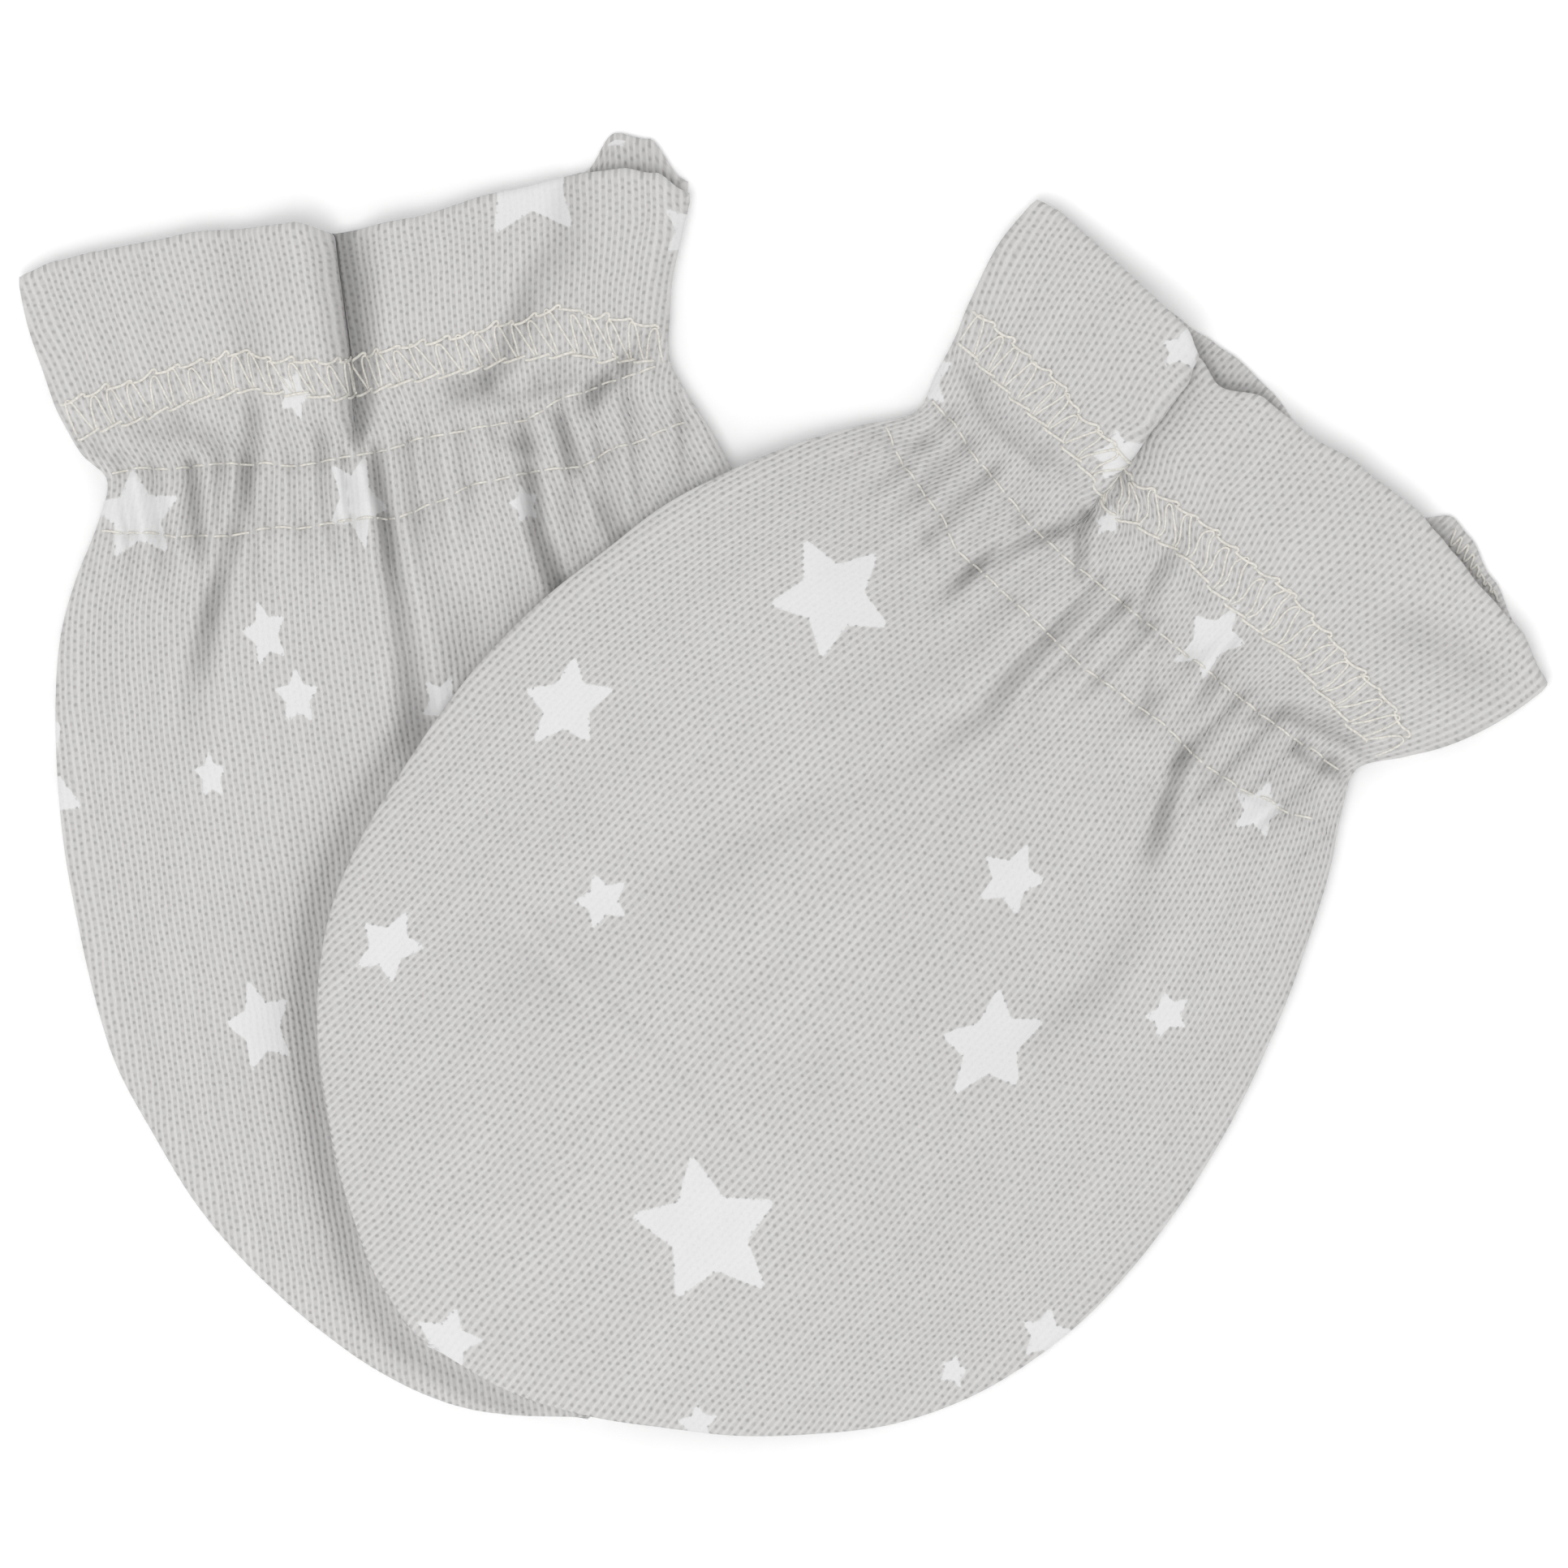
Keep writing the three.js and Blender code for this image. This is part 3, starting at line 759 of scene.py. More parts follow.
            (1.9, -1.7, 0.3, 2.2, 2.2),
            (9.3, -1.1, 0.35, 1.6, 1.6),
            (12, -1, 0, 1.4, 1.4),
        ),
    ),
    back_folds=Rows(
        FOLD,
        ("left", 20, -17.5, 42, -22.5, 0.5, 1.6, 1.6, 0.7),
        ("left_middle", 21, -10, 34, -11.4, 0, 1.4, 1.6, 0.5),
        ("middle", 19, -1.2, 47, 1.0, 0.6, 1.6, 1.6, 0.7),
        ("right_middle", 21, 6.6, 34, 8.2, 0.3, 1.4, 1.6, 0.5),
        ("right", 20, 14.8, 39, 20.6, -0.4, 1.6, 1.6, 0.6),
    ),
    sewing=Rows(
        SEWING,
        (-30, 11.6, 14.6, 20.2, 25.4),
        (-25, 11.4, 15.1, 20.8, 27.1),
        (-20, 11.2, 15.1, 21.8, 28.0),
        (-16, 12.1, 15.1, 22.3, 29.4),
        (-12, 12.0, 15.4, 22.9, 29.3),
        (-8.3, 13.0, 16.9, 22.8, 29.2),
        (-4.4, 12.1, 15.8, 22.5, 29.2),
        (0, 11.5, 15.0, 22.2, 29.3),
        (5, 11.3, 15.5, 21.8, 28.6),
        (10, 10.8, 15.4, 21.4, 28.0),
        (14.5, 11.2, 15.1, 21.1, 28.2),
        (18.5, 11.6, 15.6, 20.6, 27.5),
        (22.5, 11.8, 16.0, 20.0, 26.3),
        (29, 13.6, 16.8, 18.6, 23.4),
    ),
    stars=Rows(
        STAR,
        (92.4, 10.6, 7.1, -16, 1.12),
        (40.7, -21.8, 6.1, -33, 1.02),
        (65.1, -33.0, 5.0, -3, 0.86),
        (76.4, -18.0, 3.0, -26, 0.94),
        (93.3, -29.7, 4.0, 18, 0.83),
        (48.6, 8.8, 3.9, 17, 0.88),
        (61.3, 18.1, 6.2, -7, 0.77),
        (47.8, 28.4, 2.7, -23, 0.81),
        (77.8, 40.6, 2.8, 4, 0.9),
        (86.3, 36.6, 1.6, 7, 1.1),
        (106.3, 22.2, 2.2, -10, 0.9),
        (116.6, -0.2, 3.2, 8, 1.1),
        (103.5, 33.0, 4.4, -13, 1.0),
        (1.0, -13.6, 2.5, 1, 0.75),
        (12.4, -11.3, 2.7, -15, 0.8),
        (17.5, -7.5, 1.9, -7, 0.7),
        (19.1, 7.3, 4.7, 27, 0.62),
        (27.7, 21.5, 3.0, 12, 0.92),
        (19.7, -29.4, 3.6, -15, 0.85),
    ),
    back_stars=Rows(
        STAR,
        (23, -9.5, 3.6, 5, 0.7),
        (31, 19.0, 2.4, 18, 0.8),
        (44, -26.0, 5.8, -12, 0.85),
        (46, 4.0, 3.0, 10, 0.95),
        (58, -9.0, 2.2, 0, 1.0),
        (63, 27.0, 5.0, 24, 0.8),
        (74, 9.0, 3.8, -6, 1.05),
        (80, -29.0, 3.0, 15, 0.85),
        (90, -8.0, 6.6, 8, 1.1),
        (99, 21.0, 2.6, 0, 0.95),
        (107, -14.0, 2.0, 20, 0.95),
        (5, 16.0, 3.4, 10, 0.85),
        (8, -22.0, 2.0, -16, 0.8),
    ),
    hem_stars=Rows(
        STAR,
        (-3.4, 25.6, 2.2, 19, 0.9),
        (7, -6.0, 2.2, 0, 0.9),
    ),
)

MITTENS = (LOWER, UPPER)


def distance_to_line(line, x, y):
    """Distance in plan from each point to the nearest stretch of the line."""
    nearest = np.full(x.shape, np.inf)
    for start, end in zip(line[:-1], line[1:]):
        run = end - start
        t = np.clip(((x - start[0]) * run[0] + (y - start[1]) * run[1]) / (run @ run), 0, 1)
        nearest = np.minimum(nearest, np.hypot(x - start[0] - t * run[0], y - start[1] - t * run[1]))
    return nearest


def depth_inside(loop, x, y):
    """Distance from a closed outline, positive inside."""
    closed = np.vstack([loop, loop[:1]])
    inside = np.zeros(x.shape, bool)
    for (ax, ay), (bx, by) in zip(closed[:-1], closed[1:]):
        if ay != by:
            crosses = (ay > y) != (by > y)
            inside ^= crosses & (x < (bx - ax) * (y - ay) / (by - ay) + ax)
    return distance_to_line(closed, x, y) * np.where(inside, 1, -1)


def wall_at(below):
    return HEM_WALL + (WALL - HEM_WALL) * smooth((below - HEM_DEPTH) / HEM_EASE)


def fold_depth(folds, below, across):
    """Depth of the folds: each is a soft trough along a bent line."""
    depth = np.zeros(np.broadcast(below, across).shape)
    for fold in folds.each():
        run = (fold["to_below"] - fold["below"], fold["to_across"] - fold["across"])
        length = math.hypot(*run)
        ux = run[0] / length
        uy = run[1] / length
        t = ((below - fold["below"]) * ux + (across - fold["across"]) * uy) / length
        chord = (across - fold["across"]) * ux - (below - fold["below"]) * uy
        aside = chord - fold["bend"] * 4 * t * (1 - t)
        width = np.where(aside < 0, fold["left_width"], fold["right_width"])
        taper = smooth(t / 0.2) * smooth((1 - t) / 0.45)
        depth += fold["depth"] * taper * bell(aside / width)
    return depth


def crease_relief(creases, below, across):
    """Each crease is a narrow trough along a run of points, with a soft ridge on each side."""
    relief = np.zeros(below.shape)
    for crease in creases:
        nearest = np.full(below.shape, np.inf)
        depth = np.zeros(below.shape)
        width = np.ones(below.shape)
        points = list(crease.each())
        for start, end in zip(points[:-1], points[1:]):
            run_below = end["below"] - start["below"]
            run_across = end["across"] - start["across"]
            off_below = below - start["below"]
            off_across = across - start["across"]
            t = (off_below * run_below + off_across * run_across) / (run_below ** 2 + run_across ** 2)
            t = np.clip(t, 0, 1)
            away = np.hypot(off_below - t * run_below, off_across - t * run_across)
            right = run_below * off_across - run_across * off_below > 0
            here = {name: start[name] + (end[name] - start[name]) * t for name in start}
            closer = away < nearest
            nearest = np.where(closer, away, nearest)
            depth = np.where(closer, here["depth"], depth)
            width = np.where(closer, np.where(right, here["right_width"], here["left_width"]), width)
        place = nearest / width
        relief -= CREASE_DEPTH * depth * (bell(place) - LIP_HEIGHT * bell((place - LIP_PLACE) / LIP_WIDTH))
    return relief


def gathers(below, across):
    band = smooth((below - ELASTIC_UPPER + GATHER_EASE) / GATHER_EASE)
    band = band * smooth((ELASTIC_LOWER + GATHER_EASE - below) / GATHER_EASE)
    wander = 0.9 * np.sin(across * 0.31) + 0.5 * np.sin(across * 0.83 + 1)
    return GATHER_HEIGHT * band * np.sin(2 * math.pi * (across + wander) / GATHER_PITCH)


def sewn_relief(mitten, below, across):
    """How the sewing draws the cloth in: a groove at each row and fine puckers beside it."""
    relief = np.zeros(below.shape)
    ripple = np.sin(across * 2.35 + 0.8 * np.sin(across * 0.47)) + 0.6 * np.sin(across * 3.9 + 2)
    for row, groove, pucker in (
        ("cover_high", 0.08, 0.05),
        ("cover_low", 0.14, 0.10),
        ("elastic_high", 0.28, 0.17),
        ("elastic_low", 0.28, 0.17),
    ):
        line = mitten.sewing.by("across", across, row)
        relief -= groove * bell((below - line) / 0.55)
        relief += pucker * ripple * bell((below - line) / 2.6)
    high = mitten.sewing.by("across", across, "elastic_high")
    low = mitten.sewing.by("across", across, "elastic_low")
    band = smooth((below - high + 3) / 3.5) * smooth((low + 9 - below) / 9)
    phase = across * 1.5 + 1.9 * np.sin(across * 0.29 + 0.7) + 0.05 * below
    bulge = 2 * np.sqrt(np.abs(np.sin(phase / 2)) + 0.01) - 1.5
    uneven = bulge * (0.7 + 0.3 * np.sin(across * 0.41 + 2))
    relief += UNEVEN_GATHER * band * uneven
    hem_end = mitten.sewing.by("across", across, "cover_low")
    return relief - 0.2 * smooth((below - hem_end) / 0.9)


def soft_waves(below, across):
    """The slight unevenness of cloth that has been handled."""
    return (
        0.14 * np.sin(across * 0.21 + 0.6 + 0.02 * below)
        + 0.12 * np.sin(across * 0.13 - below * 0.11 + 2.0)
        + 0.07 * np.sin(across * 0.37 + below * 0.07 + 4.0)
    )


def covered_by(mitten, x, y):
    """How far each point lies inside the outline of the mitten on top, negative outside it."""
    if mitten is not LOWER:
        return np.full(x.shape, -100.0)
    return depth_inside(UPPER.seam, x, y)


def ground_under(mitten, x, y):
    if mitten is not UPPER:
        return np.zeros(x.shape)
    inside = depth_inside(LOWER.seam, x, y)
    return DRAPE_HEIGHT * smooth((inside + DRAPE_OUTSIDE) / (DRAPE_OUTSIDE + DRAPE_INSIDE))


def back_height(mitten, below, across, inset):
    wall = wall_at(below)
    edge = SEAM_HEIGHT - SEAM_GAP / 2 - wall / 2
    curl = 1 - np.sin(math.pi / 2 * np.clip(inset / CURL_WIDTH, 0, 1))
    flat = wall / 2
    return flat + (edge - flat) * curl + fold_depth(mitten.back_folds, below, across) * smooth(inset / 4)


def front_height(mitten, below, across, inset, loft, press):
    wall = wall_at(below)
    edge = SEAM_HEIGHT + SEAM_GAP / 2 + wall / 2
    roll = ROLL_RISE * np.sin(math.pi / 2 * np.clip(inset / ROLL_WIDTH, 0, 1))
    puff = (loft + (PRESSED_LOFT - loft) * press) * smooth(inset / PUFF_WIDTH)
    return edge + roll + puff


def front_relief(mitten, below, across, inset, covered):
    """Folds and waves of a front panel; its ridges are pressed flat near the mitten on top."""
    relief = gathers(below, across) + crease_relief(mitten.creases, below, across)
    relief += sewn_relief(mitten, below, across)
    relief += soft_waves(below, across)
    ridges = np.maximum(relief, 0) * (1 - smooth(1 + covered / RIDGE_EASE))
    nestle = bell((covered - NESTLE_PLACE) / NESTLE_WIDTH) * smooth((NESTLE_END - across) / NESTLE_FADE)
    troughs = np.minimum(relief, 0) - NESTLE_DEPTH * nestle
    troughs *= 1 - smooth(covered / COVERED_EASE)
    return (ridges + troughs) * smooth(inset / 2.0)


def pleat_path(turn, under, distance):
    """The pleat's path: it bends down by the turn, runs under, and bends back."""
    bend = PLEAT_RADIUS * turn
    straight = np.clip(distance - bend, 0, under)
    rest = np.clip(distance - bend - under, 0, bend)
    first = np.minimum(distance, bend) / PLEAT_RADIUS
    last = turn - rest / PLEAT_RADIUS
    bending = distance < bend
    across = np.where(
        bending,
        PLEAT_RADIUS * np.sin(first),
        PLEAT_RADIUS * (2 * np.sin(turn) - np.sin(last)) + straight * np.cos(turn),
    )
    drop = np.where(
        bending,
        PLEAT_RADIUS * (1 - np.cos(first)),
        PLEAT_RADIUS * (1 - 2 * np.cos(turn) + np.cos(last)) + straight * np.sin(turn),
    )
    return across, drop


def lay_pleat(mitten, below, left, right, share):
    """Where the cloth lies across a front panel's row, and how far the pleat lifts it."""
    turn = np.radians(np.maximum(mitten.pleat.by("below", below, "turn"), 0))
    under = mitten.pleat.by("below", below, "under")
    length = 2 * PLEAT_RADIUS * turn + under
    full_across, full_drop = pleat_path(turn, under, length)
    hidden = length - full_across
    start = left + mitten.pleat.by("below", below, "across") - full_across / 2
    cloth = share * (left + right + hidden)
    up = PLEAT_UP * full_drop
    path_across, path_drop = pleat_path(turn, under, np.clip(cloth - start, 0, length))
    before = cloth < start
    after = cloth > start + length
    across = np.where(before, cloth, np.where(after, cloth - hidden, start + path_across)) - left
    lift_before = up * bell((start - cloth) / PLEAT_EASE_UPPER)
    lift_after = (up - full_drop) * bell((cloth - start - length) / PLEAT_EASE_LOWER)
    lift = np.where(before, lift_before, np.where(after, lift_after, up - path_drop))
    return across, lift


ROUNDING = 0.25


def soft_max(a, b):
    return (a + b + np.hypot(a - b, ROUNDING)) / 2


def row_positions(mitten, steps):
    """Row numbers of the sections table, spaced along the panel's edge and closer above FINE_END."""
    fine = np.linspace(0, mitten.sections.count - 1, 4000)
    row = mitten.sections.along(fine)
    run = np.hypot(np.diff(row["below"]), np.diff(row["left"] + row["right"]) / 2)
    run *= np.where(row["below"][1:] < FINE_END, FINE_SHARE, 1)
    travelled = np.concatenate([[0], np.cumsum(run)])
    return np.interp(np.linspace(0, travelled[-1], steps + 1), travelled, fine), travelled[-1]


class Panel:
    """The middle surface of one panel as a grid of points, with its cloth coordinates."""

    def __init__(self, mitten, side, row_steps, column_steps):
        self.mitten = mitten
        self.side = side
        self.share = np.linspace(0, 1, column_steps + 1)
        positions, travelled = row_positions(mitten, row_steps)
        row = mitten.sections.along(positions)
        self.rows_per_mm = FINE_SHARE * row_steps / travelled
        trim = WALL / 2
        below = row["below"][:, None]
        left = row["left"][:, None] - trim
        right = row["right"][:, None] - trim
        share = self.share[None, :]
        if side == "front":
            across, lift = lay_pleat(mitten, below, left, right, share)
        else:
            across = share * (left + right) - left
            lift = np.zeros(across.shape)
        half = (left + right) / 2
        place = np.clip((across - (right - left) / 2) / half, -1, 1)
        last = row["below"][-1]
        inward = CUFF_TRIM * (1 - smooth(below / 5)) - trim * smooth((below - last + 4) / 4)
        self.below = below - mitten.bow_at(side, place, below) + inward
        self.across = across
        x, y = mitten.to_world(self.below, across)
        inset = distance_to_line(mitten.seam, x, y)
        ground = ground_under(mitten, x, y)
        back = back_height(mitten, self.below, across, inset)
        height = back
        folds = -fold_depth(mitten.back_folds, self.below, across)
        if side == "front":
            covered = covered_by(mitten, x, y)
            press = smooth(1 + covered / PRESS_EASE)
            loft = row["loft"][:, None]
            front = front_height(mitten, self.below, across, inset, loft, press)
            front += lift * smooth(inset / 6)
            clear = back + wall_at(self.below) + SEAM_GAP
            height = soft_max(front, clear)
            folds = front_relief(mitten, self.below, across, inset, covered)
            relief = soft_max(front + folds, clear) - height
        self.points = np.stack([x, y, height + ground], 2)
        self.wall = np.broadcast_to(wall_at(below), across.shape)
        along = np.gradient(self.points, axis=0)
        sideways = np.gradient(self.points, axis=1)
        normal = np.cross(along, sideways)
        self.normals = normal / np.linalg.norm(normal, axis=2, keepdims=True)
        if side == "front":
            self.points[..., 2] += relief
        # Painted shade: how much the cloth colour is darkened in deep folds and creases, growing with their
        # depth
        self.painted_crease_shade = smooth((-folds - PAINTED_SHADE_START) / PAINTED_SHADE_REACH)
        flat = mitten.flat_width(below, left + right)
        cloth_across = (right - left) / 2 + (share - 0.5) * flat
        self.wales = mitten.wale_number(below, cloth_across, flat)
        self.courses = np.broadcast_to(below / COURSE_PITCH, across.shape)

    def outside(self):
        """1 where the panel's printed side is its upper side, and -1 where it is its underside."""
        return 1 if self.side == "front" else -1

    def read(self, grid, row, column):
        """A grid's values at places between its points, given as row and column numbers."""
        rows, columns = self.across.shape
        row = np.clip(row, 0, rows - 1.001)
        column = np.clip(column, 0, columns - 1.001)
        r = row.astype(int)
        c = column.astype(int)
        shape = row.shape + (1,) * (grid.ndim - 2)
        fr = (row - r).reshape(shape)
        fc = (column - c).reshape(shape)
        top = grid[r, c] * (1 - fc) + grid[r, c + 1] * fc
        bottom = grid[r + 1, c] * (1 - fc) + grid[r + 1, c + 1] * fc
        return top * (1 - fr) + bottom * fr

    def find_row(self, column, target):
        """The row number at which each column reaches a distance below the cuff."""
        low = np.zeros(column.shape)
        high = np.full(column.shape, self.across.shape[0] - 1.0)
        for _ in range(24):
            middle = (low + high) / 2
            short = self.read(self.below, middle, column) < target(self.read(self.across, middle, column))
            low = np.where(short, middle, low)
            high = np.where(short, high, middle)
        return (low + high) / 2


STAR_NOTCH = 0.5
STAR_BLUNT = 0.93


def star_depth(stars, panel):
    """Signed distance on the cloth from the nearest star's edge, negative inside, in millimetres."""
    nearest = np.full(panel.below.shape, 9.0)
    for star in stars.each():
        dx = (panel.across - star["across"]) / star["squeeze"]
        dy = panel.below - star["below"]
        close = np.hypot(dx, dy) < star["radius"] + 2.5
        if not close.any():
            continue
        reach = np.hypot(dx[close], dy[close])
        sector = 2 * math.pi / 5
        angle = np.arctan2(dx[close], dy[close]) + math.radians(star["turn"])
        fold = np.abs((angle + sector / 2) % sector - sector / 2)
        point = star["radius"]
        notch = STAR_NOTCH * point
        nx = notch * math.sin(sector / 2)
        ny = point - notch * math.cos(sector / 2)
        size = math.hypot(nx, ny)
        edge = (reach * np.cos(fold) * nx + reach * np.sin(fold) * ny - point * nx) / size
        edge = np.maximum(edge, reach - STAR_BLUNT * point)
        nearest[close] = np.minimum(nearest[close], edge)
    return nearest


def shell_mesh(panel, name):
    """A closed shell: the outer side, a rounded rim, and an inner side with half the steps."""
    half_wall = panel.wall[..., None] / 2
    facing = panel.outside()
    outer = panel.points + panel.normals * half_wall * facing
    inner = (panel.points - panel.normals * half_wall * facing)[::2, ::2]
    rows, columns = panel.across.shape
    loop = [(0, c) for c in range(columns - 1)]
    loop += [(r, columns - 1) for r in range(rows - 1)]
    loop += [(rows - 1, c) for c in range(columns - 1, 0, -1)]
    loop += [(r, 0) for r in range(rows - 1, 0, -1)]
    loop = np.array(loop)
    inward = np.stack(
        [
            np.where(loop[:, 0] == 0, 1, np.where(loop[:, 0] == rows - 1, -1, 0)),
            np.where(loop[:, 1] == 0, 1, np.where(loop[:, 1] == columns - 1, -1, 0)),
        ],
        1,
    )
    here = panel.points[loop[:, 0], loop[:, 1]]
    out_rows = here - panel.points[loop[:, 0] + inward[:, 0], loop[:, 1]]
    out_columns = here - panel.points[loop[:, 0], loop[:, 1] + inward[:, 1]]
    out = unit(out_rows) + unit(out_columns)
    normal = panel.normals[loop[:, 0], loop[:, 1]] * facing
    out = unit(out - normal * (out * normal).sum(1, keepdims=True))
    radius = panel.wall[loop[:, 0], loop[:, 1]][:, None] / 2
    rims = []
    for step in range(1, RIM_STEPS):
        angle = math.pi * step / RIM_STEPS
        rims.append(here + radius * (normal * math.cos(angle) + out * math.sin(angle)))

    outer_ids = np.arange(rows * columns).reshape(rows, columns)
    rim_ids = rows * columns + np.arange(len(loop) * len(rims)).reshape(len(rims), len(loop))
    half_rows, half_columns = inner.shape[:2]
    inner_ids = rim_ids[-1, -1] + 1 + np.arange(half_rows * half_columns).reshape(half_rows, half_columns)

    def quads(ids):
        return np.stack([ids[:-1, :-1], ids[:-1, 1:], ids[1:, 1:], ids[1:, :-1]], -1).reshape(-1, 4)

    border = outer_ids[loop[:, 0], loop[:, 1]]
    rings = np.vstack([border[None], rim_ids])
    rings = np.hstack([rings, rings[:, :1]])
    rim_faces = np.stack([rings[:-1, :-1], rings[1:, :-1], rings[1:, 1:], rings[:-1, 1:]], -1).reshape(-1, 4)
    last = rings[-1]
    coarse = inner_ids[loop[::2, 0] // 2, loop[::2, 1] // 2]
    coarse = np.append(coarse, coarse[0])
    a = last[:-1:2]
    b = last[1::2]
    c = last[2::2]
    joins = np.vstack(
        [
            np.stack([a, coarse[:-1], b], 1),
            np.stack([b, coarse[:-1], coarse[1:]], 1),
            np.stack([b, coarse[1:], c], 1),
        ]
    )
    faces = [quads(outer_ids)[:, ::-1], rim_faces[:, ::-1], quads(inner_ids)]
    faces = [part if facing < 0 else part[:, ::-1] for part in faces]
    joins = joins[:, ::-1] if facing < 0 else joins
    points = np.vstack([outer.reshape(-1, 3), np.vstack(rims), inner.reshape(-1, 3)])
    faces = [face for part in faces for face in part.tolist()] + joins.tolist()
    mesh = bpy.data.meshes.new(name)
    mesh.from_pydata((points * MM).tolist(), [], faces)
    mesh.polygons.foreach_set("use_smooth", np.ones(len(mesh.polygons), bool))

    def on_shell(grid, inside=None):
        rim = grid[loop[:, 0], loop[:, 1]]
        inside = grid if inside is None else inside
        return np.concatenate([grid.reshape(-1), np.tile(rim, len(rims)), inside[::2, ::2].reshape(-1)])

    mitten = panel.mitten
    star = star_depth(mitten.stars if panel.side == "front" else mitten.back_stars, panel)
    plain = np.full(star.shape, 9.0)
    if panel.side == "back":
        plain = star_depth(mitten.hem_stars, panel)
    within = on_shell(np.zeros(star.shape), np.ones(star.shape))
    cloth = np.stack([on_shell(panel.wales), on_shell(panel.courses), within], 1)
    made = mesh.attributes.new("cloth", "FLOAT_VECTOR", "POINT")
    made.data.foreach_set("vector", cloth.astype(np.float32).reshape(-1))
    made = mesh.attributes.new("star", "FLOAT", "POINT")
    made.data.foreach_set("value", on_shell(star, plain).astype(np.float32))
    made = mesh.attributes.new("painted_crease_shade", "FLOAT", "POINT")
    made.data.foreach_set("value", on_shell(panel.painted_crease_shade).astype(np.float32))
    mesh.update()
    return mesh


def unit(vectors):
    length = np.linalg.norm(vectors, axis=-1, keepdims=True)
    return vectors / np.where(length > 1e-9, length, 1)


def tube_mesh(paths, radius, sides, name):
    """One mesh of a thin round thread along each path, closed at both ends."""
    points = []
    faces = []
    turn = np.linspace(0, 2 * math.pi, sides, endpoint=False)
    for path in paths:
        start = len(points)
        along = unit(np.gradient(path, axis=0))
        side = unit(np.cross(along, np.array([0.0, 0.0, 1.0])))
        up = np.cross(side, along)
        count = len(path)
        taper = np.ones(count)
        taper[0] = taper[-1] = 0.55
        ring = side[:, None] * np.cos(turn)[None, :, None] + up[:, None] * np.sin(turn)[None, :, None]
        points.extend((path[:, None] + ring * (radius * taper)[:, None, None]).reshape(-1, 3).tolist())
        for i in range(count - 1):
            for j in range(sides):
                k = (j + 1) % sides
                low = start + i * sides
                faces.append((low + j, low + k, low + sides + k, low + sides + j))
        faces.append(tuple(start + j for j in reversed(range(sides))))
        faces.append(tuple(start + (count - 1) * sides + j for j in range(sides)))
    mesh = bpy.data.meshes.new(name)
    mesh.from_pydata((np.array(points) * MM).tolist(), [], faces)
    mesh.polygons.foreach_set("use_smooth", np.ones(len(mesh.polygons), bool))
    mesh.update()
    return mesh


# Under the cuffs the weight of the cloth presses the thread into it
THREAD_FLOOR = 0.06


def thread_points(panel, row, column, lift, face=1):
    """Points lifted off a panel by a small height, on its outer side or, with face -1, its inner."""
    normal = panel.read(panel.normals, row, column) * panel.outside() * face
    wall = panel.read(panel.wall, row, column)[:, None]
    points = panel.read(panel.points, row, column) + normal * (wall / 2 + lift[:, None])
    points[:, 2] = np.maximum(points[:, 2], THREAD_FLOOR)
    return points


class SewnRow:
    """A row of sewing across a panel, measured along the cloth."""

    def __init__(self, panel, name):
        self.panel = panel
        self.column = np.linspace(1, panel.across.shape[1] - 2, 900)
        sewing = panel.mitten.sewing
        self.row = panel.find_row(self.column, lambda across: sewing.by("across", across, name))
        points = panel.read(panel.points, self.row, self.column)
        steps = np.linalg.norm(np.diff(points, axis=0), axis=1)
        self.travel = np.concatenate([[0], np.cumsum(steps)])
        self.length = self.travel[-1]

    def at(self, distance):
        """Row and column numbers at distances along the sewing."""
        row = np.interp(distance, self.travel, self.row)
        column = np.interp(distance, self.travel, self.column)
        return row, column


# One stitch of the upper needle row: a scallop that ends in a hook towards the cuff
SCALLOP = Rows(
    "along out lift",
    (0.00, 0.00, -0.02),
    (0.24, -0.07, 0.07),
    (0.50, -0.02, 0.09),
    (0.74, 0.14, 0.08),
    (0.90, 0.34, 0.06),
    (1.02, 0.32, 0.05),
    (1.05, 0.14, 0.02),
    (1.00, 0.00, -0.02),
)
# One stitch of the lower needle row: a slanted dash that overlaps the next one
DASH = Rows(
    "along out lift",
    (-0.06, -0.12, -0.08),
    (0.14, -0.18, 0.05),
    (0.45, -0.04, 0.09),
    (0.78, 0.10, 0.07),
    (0.98, 0.22, 0.02),
    (1.04, 0.10, -0.06),
)
# One stitch of an elastic row
TACK = Rows(
    "along out lift",
    (0.10, 0.00, -0.10),
    (0.22, 0.04, 0.04),
    (0.50, 0.06, 0.07),
    (0.78, 0.03, 0.04),
    (0.90, -0.02, -0.10),
)
# One loop of the covering thread, from the lower needle row over the upper one and back
LOOP = Rows(
    "along rise lift",
    (0.04, 0.02, -0.08),
    (0.14, 0.35, 0.02),
    (0.24, 0.74, 0.03),
    (0.38, 0.96, 0.04),
    (0.56, 0.98, 0.04),
    (0.68, 0.80, 0.03),
    (0.80, 0.40, 0.02),
    (0.94, 0.00, -0.08),
)


# One loop of the hem's overlock on the tab
OVERLOCK = Rows(
    "along out lift",
    (0.00, -0.70, -0.05),
    (0.10, -0.30, 0.06),
    (0.55, 0.80, 0.08),
    (0.85, 1.30, 0.05),
    (1.00, 1.00, 0.06),
    (0.95, 0.00, 0.07),
    (1.05, -0.60, -0.05),
)

LOOPS_PER_STITCH = 1.2
TAB_STITCHES = (16.8, 24.0, 0.95)
TAB_BELOW = -4.4


